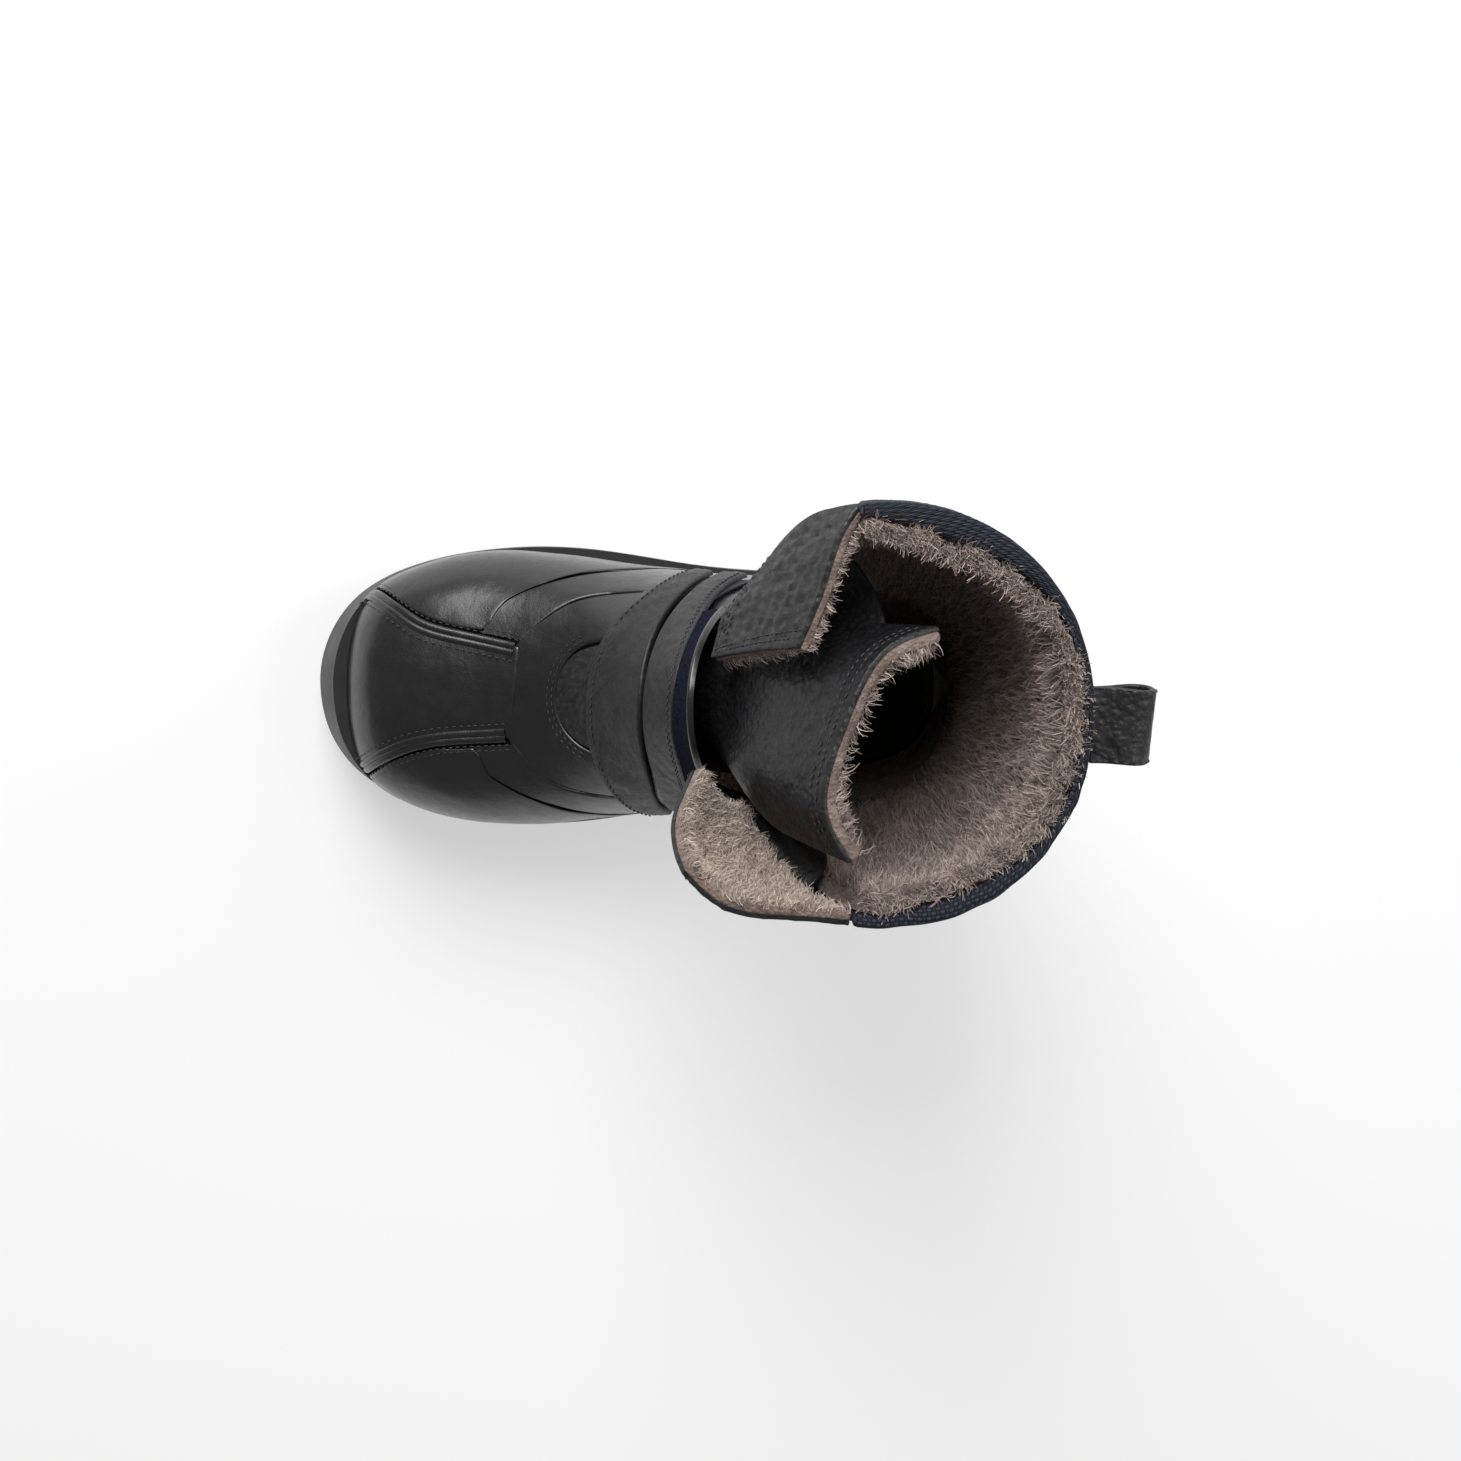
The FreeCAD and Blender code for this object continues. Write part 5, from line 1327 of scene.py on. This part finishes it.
def grown(name, points, vectors, tree, sizes):
    """A plain mesh of what a tree puts on root points that carry direction attributes."""
    mesh = bpy.data.meshes.new(name + "_roots")
    mesh.from_pydata((points * MM).tolist(), [], [])
    for key, values in vectors.items():
        attribute = mesh.attributes.new(key, "FLOAT_VECTOR", "POINT")
        attribute.data.foreach_set("vector", values.astype(np.float32).ravel())
    item = bpy.data.objects.new(name, mesh)
    bpy.context.scene.collection.objects.link(item)
    modifier = item.modifiers.new("grow", "NODES")
    modifier.node_group = tree
    for socket in tree.interface.items_tree:
        if socket.in_out == "INPUT" and socket.name in sizes:
            modifier[socket.identifier] = sizes[socket.name]
    graph = bpy.context.evaluated_depsgraph_get()
    finished = bpy.data.meshes.new_from_object(item.evaluated_get(graph))
    finished.name = name
    bpy.data.objects.remove(item)
    bpy.data.meshes.remove(mesh)
    bpy.data.node_groups.remove(tree)
    made = bpy.data.objects.new(name, finished)
    bpy.context.scene.collection.objects.link(made)
    return made


def build_strands(name, points, out, body, length, width, seed, lean=0.9, finish="wool"):
    """Wool strands rooted at points, leaning in directions that wander from lock to lock."""
    random = np.random.default_rng(seed)
    wander = np.stack([waves(points, (13.0, 6.0), seed + k) for k in range(3)], axis=1) * 2.0
    tilt = wander + 0.5 * random.normal(size=points.shape)
    tilt -= (tilt * out).sum(1, keepdims=True) * out
    tilt_length = np.maximum(np.linalg.norm(tilt, axis=1, keepdims=True), 1e-6)
    up = out + lean * tilt / tilt_length * random.uniform(0.3, 1.0, (len(points), 1))
    up /= np.linalg.norm(up, axis=1, keepdims=True)
    side = np.cross(up, random.normal(size=points.shape))
    side /= np.linalg.norm(side, axis=1, keepdims=True)
    tree = strand_tree(length * MM, width * MM, seed, finish)
    item = grown(name, points, {"out": up, "lean": side}, tree,
                 {"Length": length * MM, "Width": width * MM})
    return settle(item, body, "wool_lining")


def scattered(count, seed, s_limits=(0.0, 1.0), t_limits=(0.0, 1.0)):
    random = np.random.default_rng(seed)
    return random.uniform(*s_limits, count), random.uniform(*t_limits, count)


def build_shaft_wool(length, width, count):
    front = shifted(COLLAR_FRONT, 0.02, 0.045)
    back = [(u, 2.0 - v) for u, v in front]
    region = between(front, back)
    s, t = np.linspace(0.0, 1.0, 60), np.linspace(0.0, 1.0, 200)
    place = region(*np.meshgrid(s, t, indexing="ij"))
    near = skin(place[..., 0], place[..., 1], np.full(place.shape[:2], -BED_DEPTHS[0]))
    far = skin(place[..., 0], place[..., 1], np.full(place.shape[:2], -BED_DEPTHS[1]))
    lumps = 0.9 * waves(far, (11.0, 6.0), 83) + 0.4 * waves(far, (3.0,), 84)
    far = far + inward(place[..., 0], place[..., 1]) * lumps[..., None]
    far[-1] = near[-1] + (far[-1] - near[-1]) * 0.7 + np.array([0.0, 0.0, 1.2])
    bed = slab_object("shaft_wool", near, far, material("wool_bed"))
    settle(bed, "boot", "wool_lining", "shaft_lining")
    for number, limits in enumerate(((0.0, 0.5), (0.5, 1.0))):
        s, t = scattered(count, 90 + number, (0.1, 1.0), limits)
        s = 1.0 - (1.0 - s) ** 1.25
        place = region(s, t)
        roots = skin(place[:, 0], place[:, 1], np.full(len(s), -STRAND_DEPTH))
        build_strands(f"shaft_strands_{number + 1}", roots, inward(place[:, 0], place[:, 1]), "boot",
                      length, width, 101 + 7 * number)
    build_rim_wool(length, width)


def build_rim_wool(length, width):
    """Strands that stand up along the rim, just inside the hem."""
    share = np.random.default_rng(5).uniform(0.455, 1.545, RIM_STRANDS)
    depth = rim_turn(share) + 0.4 + np.random.default_rng(6).uniform(0.0, 5.0, RIM_STRANDS)
    level = np.full(RIM_STRANDS, COLLAR - 0.05)
    roots = skin(level, share, -depth)
    out = np.tile([0.0, 0.0, 1.0], (RIM_STRANDS, 1)) + inward(level, share) * 0.25
    out /= np.linalg.norm(out, axis=1, keepdims=True)
    build_strands("rim_strands", roots, out, "boot", 0.8 * length, width, 131, 0.8)


def build_sheet_wool(width):
    """Strands on the pile of the flaps and the tongue."""
    lateral, medial = flap_rows(-1.0, LATERAL_FLAP_ROWS), flap_rows(1.0, MEDIAL_FLAP_ROWS)
    strew("lateral_flap", lateral, FLAP_LEATHER + FLAP_FUR - 0.9, 9000, 2.6, width, 151, "wool")
    # The medial flap's strands take the paler copy of the wool, painted lighter.
    strew("medial_flap", medial, -1.9, 16000, 2.6, width, 157, "painted_light_wool")
    strew("tongue", tongue_rows(), TONGUE_LEATHER + TONGUE_FUR - 0.9, 15000, 4.0, width, 163, "wool",
          0.45)


def strew(body, rows, depth, count, length, width, seed, finish, start=0.0):
    """Strands on one side of a sheet, from a share along it to its upper end."""
    s, t = scattered(count, seed, (start, 1.0))
    share = np.linspace(0.0, 1.0, SHEET_SAMPLES)
    grid = sheet_grid(rows, share, share)
    i, j = (np.round(k * (SHEET_SAMPLES - 1)).astype(int) for k in (s, t))
    normal = (grid_normals(grid) * np.sign(depth))[i, j]
    jitter = np.random.default_rng(seed).normal(scale=0.35, size=(count, 3))
    roots = grid[i, j] + normal * abs(depth) + jitter
    build_strands(f"{body}_strands", roots, normal, body, length, 0.9 * width, seed, 1.0, finish)


# Stitches
def stitch_tree(length, thickness):
    """Geometry Nodes: a small rounded stitch on each point, laid along its row."""
    tree, entry = start_tree("stitches", (("Length", length), ("Thickness", thickness)))
    long, thick = entry.node.outputs["Length"], entry.node.outputs["Thickness"]
    ball = add(tree, "GeometryNodeMeshUVSphere", {"Segments": 8, "Rings": 5, "Radius": 0.5})
    size = add(tree, "ShaderNodeCombineXYZ", {0: long, 1: thick, 2: thick})
    turned = turned_by(tree, "out", "along")
    placed = add(tree, "GeometryNodeInstanceOnPoints",
                 {"Points": entry, "Instance": ball, "Rotation": turned, "Scale": size})
    return end_tree(tree, placed, "thread")


def build_stitches(length, thickness):
    for body, runs in SEWN.items():
        points, along, out = (np.concatenate([run[k] for run in runs]) for k in range(3))
        item = grown(f"stitches_{body}", points, {"along": along, "out": out},
                     stitch_tree(length, thickness), {"Length": length, "Thickness": thickness})
        settle(item, body, "smooth_leather")


# Solids that are dressed as they are, and the studio
CARRIED = {
    "outsole": "rubber", "midsole": "foam", "shank": "steel", "insole_board": "board", "footbed": "felt",
    "toe_puff": "stiffener", "heel_counter": "stiffener", "foot_lining": "wool_bed",
    "heel_lining_lateral": "wool_bed", "heel_lining_medial": "wool_bed", "loop_patch_lower": "loop_pile",
    "loop_patch_upper": "loop_pile", "lower_strap_hook": "hook_tape", "upper_strap_hook": "hook_tape",
    "loop_tab": "grain_leather",
}


def dress_solids():
    """Finishes for the solids that show or lie hidden as they are."""
    for node, finish in CARRIED.items():
        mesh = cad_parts[node].data
        mesh.materials.clear()
        mesh.materials.append(material(finish))


SENSOR = 36.0
FOCAL_PIXELS = 1850.0
FRAME_PIXELS = 1461.0
CAMERA_PLACE = (-0.041, -0.056, 0.670)
CAMERA_LEANS = (5.0, 7.4)
FLOOR_SIZE = 30.0
FLOOR_GLOW = 0.5
SKY_LIGHT = 0.25
WHITE = (1.0, 1.0, 1.0, 1.0)


def area_lamp(name, place, target, size, power):
    lamp = bpy.data.lights.new(name, "AREA")
    lamp.shape = "RECTANGLE"
    lamp.size, lamp.size_y = size
    lamp.energy = power
    item = bpy.data.objects.new(name, lamp)
    item.location = place
    item.rotation_euler = (Vector(target) - Vector(place)).to_track_quat("-Z", "Y").to_euler()
    bpy.context.scene.collection.objects.link(item)


def build_studio(floor_colour, side_power, rear_power):
    """A pale floor under a pale sky, a large soft lamp beside the boot and a weaker one over it."""
    made = bpy.data.materials.new("studio_floor")
    made.use_nodes = True
    tree = made.node_tree
    shader = tree.nodes["Principled BSDF"]
    shader.inputs["Base Color"].default_value = floor_colour
    shader.inputs["Roughness"].default_value = 0.9
    rays = add(tree, "ShaderNodeLightPath", out="Is Camera Ray")
    glossy = add(tree, MATH, {0: rays, 1: rays.node.outputs["Is Glossy Ray"]}, operation="MAXIMUM")
    seen = add(tree, MATH, {0: glossy, 1: rays.node.outputs["Is Transmission Ray"]}, operation="MAXIMUM")
    shader.inputs["Emission Color"].default_value = WHITE
    glow = add(tree, MATH, {0: seen, 1: FLOOR_GLOW}, operation="MULTIPLY")
    tree.links.new(glow, shader.inputs["Emission Strength"])
    bpy.ops.mesh.primitive_plane_add(size=FLOOR_SIZE, location=(0.0, 0.0, 0.0))
    floor = bpy.context.object
    floor.name = "studio_floor"
    floor.data.materials.append(made)
    world = bpy.data.worlds.new("studio_sky")
    bpy.context.scene.world = world
    world.use_nodes = True
    tree = world.node_tree
    sky = tree.nodes["Background"]
    sky.inputs["Color"].default_value = WHITE
    rays = add(tree, "ShaderNodeLightPath", out="Is Camera Ray")
    level = add(tree, MATH, {0: rays, 1: 1.0 - SKY_LIGHT, 2: SKY_LIGHT}, operation="MULTIPLY_ADD")
    tree.links.new(level, sky.inputs["Strength"])
    area_lamp("side_lamp", (-0.75, -0.2, 0.8), (0.0, 0.0, 0.08), (0.6, 0.9), side_power)
    area_lamp("rear_lamp", (-0.15, 0.85, 0.95), (0.0, 0.0, 0.1), (0.6, 0.6), rear_power)


def build_camera():
    """The camera stands nearly straight above the boot, a little to its outer side and towards its toe."""
    scene = bpy.context.scene
    data = bpy.data.cameras.new("photo_camera")
    data.sensor_width = SENSOR
    data.lens = SENSOR * FOCAL_PIXELS / FRAME_PIXELS
    data.clip_start = 0.05
    data.clip_end = 60.0
    item = bpy.data.objects.new("photo_camera", data)
    scene.collection.objects.link(item)
    forward = Vector((*(math.tan(math.radians(lean)) for lean in CAMERA_LEANS), -1.0)).normalized()
    right = (Vector((0.0, 1.0, 0.0)) - forward * forward.y).normalized()
    up = right.cross(forward)
    rotation = Matrix((right, up, -forward)).transposed()
    item.matrix_world = Matrix.Translation(CAMERA_PLACE) @ rotation.to_4x4()
    scene.camera = item
    scene.view_settings.view_transform = "Standard"


# Settings, steps and panel of the add-on
class BootLeather(bpy.types.PropertyGroup):
    """Sizes of the leather's seams."""

    stitch_length: FloatProperty(name="Stitch length", description="Length of each visible stitch",
                                 default=0.0016, min=0.0005, unit="LENGTH")
    stitch_thickness: FloatProperty(name="Stitch thickness", description="Thickness of the thread",
                                    default=0.00042, min=0.0001, unit="LENGTH")
    wrinkle: FloatProperty(name="Strap wrinkles", description="Depth of the soft wrinkles in the straps",
                           default=0.00028, min=0.0, unit="LENGTH")


class BootWool(bpy.types.PropertyGroup):
    """Sizes of the wool pile."""

    strand_length: FloatProperty(name="Strand length", description="Length of the wool strands in the shaft",
                                 default=0.0052, min=0.001, unit="LENGTH")
    strand_width: FloatProperty(name="Strand width", description="Width of a wool strand at its root",
                                default=0.00034, min=0.0001, unit="LENGTH")
    strands: IntProperty(name="Strands", description="Number of strands in each half of the shaft",
                         default=15000, min=100, max=30000)


class BootStudio(bpy.types.PropertyGroup):
    """The floor and the lamps."""

    floor: FloatVectorProperty(name="Floor", description="Colour of the studio floor", subtype="COLOR",
                               default=colour("#b4b4b4")[:3], min=0.0, max=1.0)
    side_power: FloatProperty(name="Side lamp", description="Power of the large lamp beside the boot",
                              default=14.0, min=0.0, unit="POWER")
    rear_power: FloatProperty(name="Rear lamp", description="Power of the lamp behind the shaft",
                              default=5.0, min=0.0, unit="POWER")


class BOOT_OT_apron(bpy.types.Operator):
    """Toe apron with its piped seams"""

    bl_idname = "boot.apron"
    bl_label = "Toe apron"

    def execute(self, context):
        build_apron()
        return {"FINISHED"}


class BOOT_OT_wings(bpy.types.Operator):
    """Vamp wings and mid bands on both sides of the toe"""

    bl_idname = "boot.wings"
    bl_label = "Wings and bands"

    def execute(self, context):
        build_wing("vamp_wing_lateral", WING_FRONT_OUTER, WING_REAR_OUTER, -1.0)
        build_wing("vamp_wing_medial", WING_FRONT_INNER, WING_REAR_INNER, 1.0)
        build_band("mid_band_lateral", BAND_FRONT_OUTER, BAND_REAR_OUTER, -1.0)
        build_band("mid_band_medial", BAND_FRONT_INNER, BAND_REAR_INNER, 1.0)
        return {"FINISHED"}


class BOOT_OT_throat(bpy.types.Operator):
    """Throat panel with its curved seam, and the leather under the straps"""

    bl_idname = "boot.throat"
    bl_label = "Throat"

    def execute(self, context):
        build_throat()
        return {"FINISHED"}


class BOOT_OT_quarters(bpy.types.Operator):
    """Leather sides and heel cap"""

    bl_idname = "boot.quarters"
    bl_label = "Quarters and heel"

    def execute(self, context):
        build_quarters()
        return {"FINISHED"}


class BOOT_OT_shaft(bpy.types.Operator):
    """Woven shaft, its back strip and its hem"""

    bl_idname = "boot.shaft"
    bl_label = "Woven shaft"

    def execute(self, context):
        build_textile()
        build_hem()
        build_rim()
        return {"FINISHED"}


class BOOT_OT_straps(bpy.types.Operator):
    """Two straps with the fastening tape and its piping"""

    bl_idname = "boot.straps"
    bl_label = "Straps"

    def execute(self, context):
        build_straps(context.scene.boot_leather.wrinkle / MM)
        return {"FINISHED"}


class BOOT_OT_flaps(bpy.types.Operator):
    """Two front flaps with their pile"""

    bl_idname = "boot.flaps"
    bl_label = "Front flaps"

    def execute(self, context):
        build_flaps()
        return {"FINISHED"}


class BOOT_OT_tongue(bpy.types.Operator):
    """Tongue with its pile, and the gussets beside it"""

    bl_idname = "boot.tongue"
    bl_label = "Tongue"

    def execute(self, context):
        build_tongue()
        build_gussets()
        return {"FINISHED"}


class BOOT_OT_loop(bpy.types.Operator):
    """Pull loop behind the collar"""

    bl_idname = "boot.pull_loop"
    bl_label = "Pull loop"

    def execute(self, context):
        build_loop()
        return {"FINISHED"}


class BOOT_OT_wool(bpy.types.Operator):
    """Wool pile in the shaft, on its rim, on the flaps and on the tongue"""

    bl_idname = "boot.wool"
    bl_label = "Wool pile"

    def execute(self, context):
        wool_sizes = context.scene.boot_wool
        build_shaft_wool(wool_sizes.strand_length / MM, wool_sizes.strand_width / MM, wool_sizes.strands)
        build_sheet_wool(wool_sizes.strand_width / MM)
        return {"FINISHED"}


class BOOT_OT_stitches(bpy.types.Operator):
    """Every stitch row that the other pieces have asked for"""

    bl_idname = "boot.stitches"
    bl_label = "Stitches"

    def execute(self, context):
        leather = context.scene.boot_leather
        build_stitches(leather.stitch_length, leather.stitch_thickness)
        return {"FINISHED"}


class BOOT_OT_solids(bpy.types.Operator):
    """Finishes for the sole, the inner layers and the fastening patches"""

    bl_idname = "boot.solids"
    bl_label = "Sole and inner layers"

    def execute(self, context):
        dress_solids()
        return {"FINISHED"}


class BOOT_OT_studio(bpy.types.Operator):
    """Floor, sky, lamps and camera"""

    bl_idname = "boot.studio"
    bl_label = "Studio"

    def execute(self, context):
        studio = context.scene.boot_studio
        build_studio(tuple(studio.floor) + (1.0,), studio.side_power, studio.rear_power)
        build_camera()
        return {"FINISHED"}


STEPS = (BOOT_OT_apron, BOOT_OT_wings, BOOT_OT_throat, BOOT_OT_quarters, BOOT_OT_shaft, BOOT_OT_straps,
         BOOT_OT_flaps, BOOT_OT_tongue, BOOT_OT_loop, BOOT_OT_wool, BOOT_OT_stitches, BOOT_OT_solids,
         BOOT_OT_studio)
GROUPS = {"boot_leather": BootLeather, "boot_wool": BootWool, "boot_studio": BootStudio}


class BOOT_PT_panel(bpy.types.Panel):
    """Lists the boot's settings and the step for each of its pieces"""

    bl_idname = "BOOT_PT_panel"
    bl_label = "Winter boot"
    bl_space_type = "VIEW_3D"
    bl_region_type = "UI"
    bl_category = "Winter boot"

    def draw(self, context):
        for name in GROUPS:
            box = self.layout.box()
            group = getattr(context.scene, name)
            for key in group.bl_rna.properties.keys():
                if key not in ("rna_type", "name"):
                    box.prop(group, key)
        for step in STEPS:
            self.layout.operator(step.bl_idname)


def register():
    for group in (*GROUPS.values(), *STEPS, BOOT_PT_panel):
        bpy.utils.register_class(group)
    for name, group in GROUPS.items():
        setattr(bpy.types.Scene, name, PointerProperty(type=group))


def unregister():
    for name in GROUPS:
        delattr(bpy.types.Scene, name)
    for group in (BOOT_PT_panel, *reversed(STEPS), *GROUPS.values()):
        bpy.utils.unregister_class(group)


def main():
    register()
    bpy.ops.boot.apron()
    bpy.ops.boot.wings()
    bpy.ops.boot.throat()
    bpy.ops.boot.quarters()
    bpy.ops.boot.shaft()
    bpy.ops.boot.straps()
    bpy.ops.boot.flaps()
    bpy.ops.boot.tongue()
    bpy.ops.boot.pull_loop()
    bpy.ops.boot.wool()
    bpy.ops.boot.stitches()
    bpy.ops.boot.solids()
    bpy.ops.boot.studio()


if __name__ == "__main__":
    main()
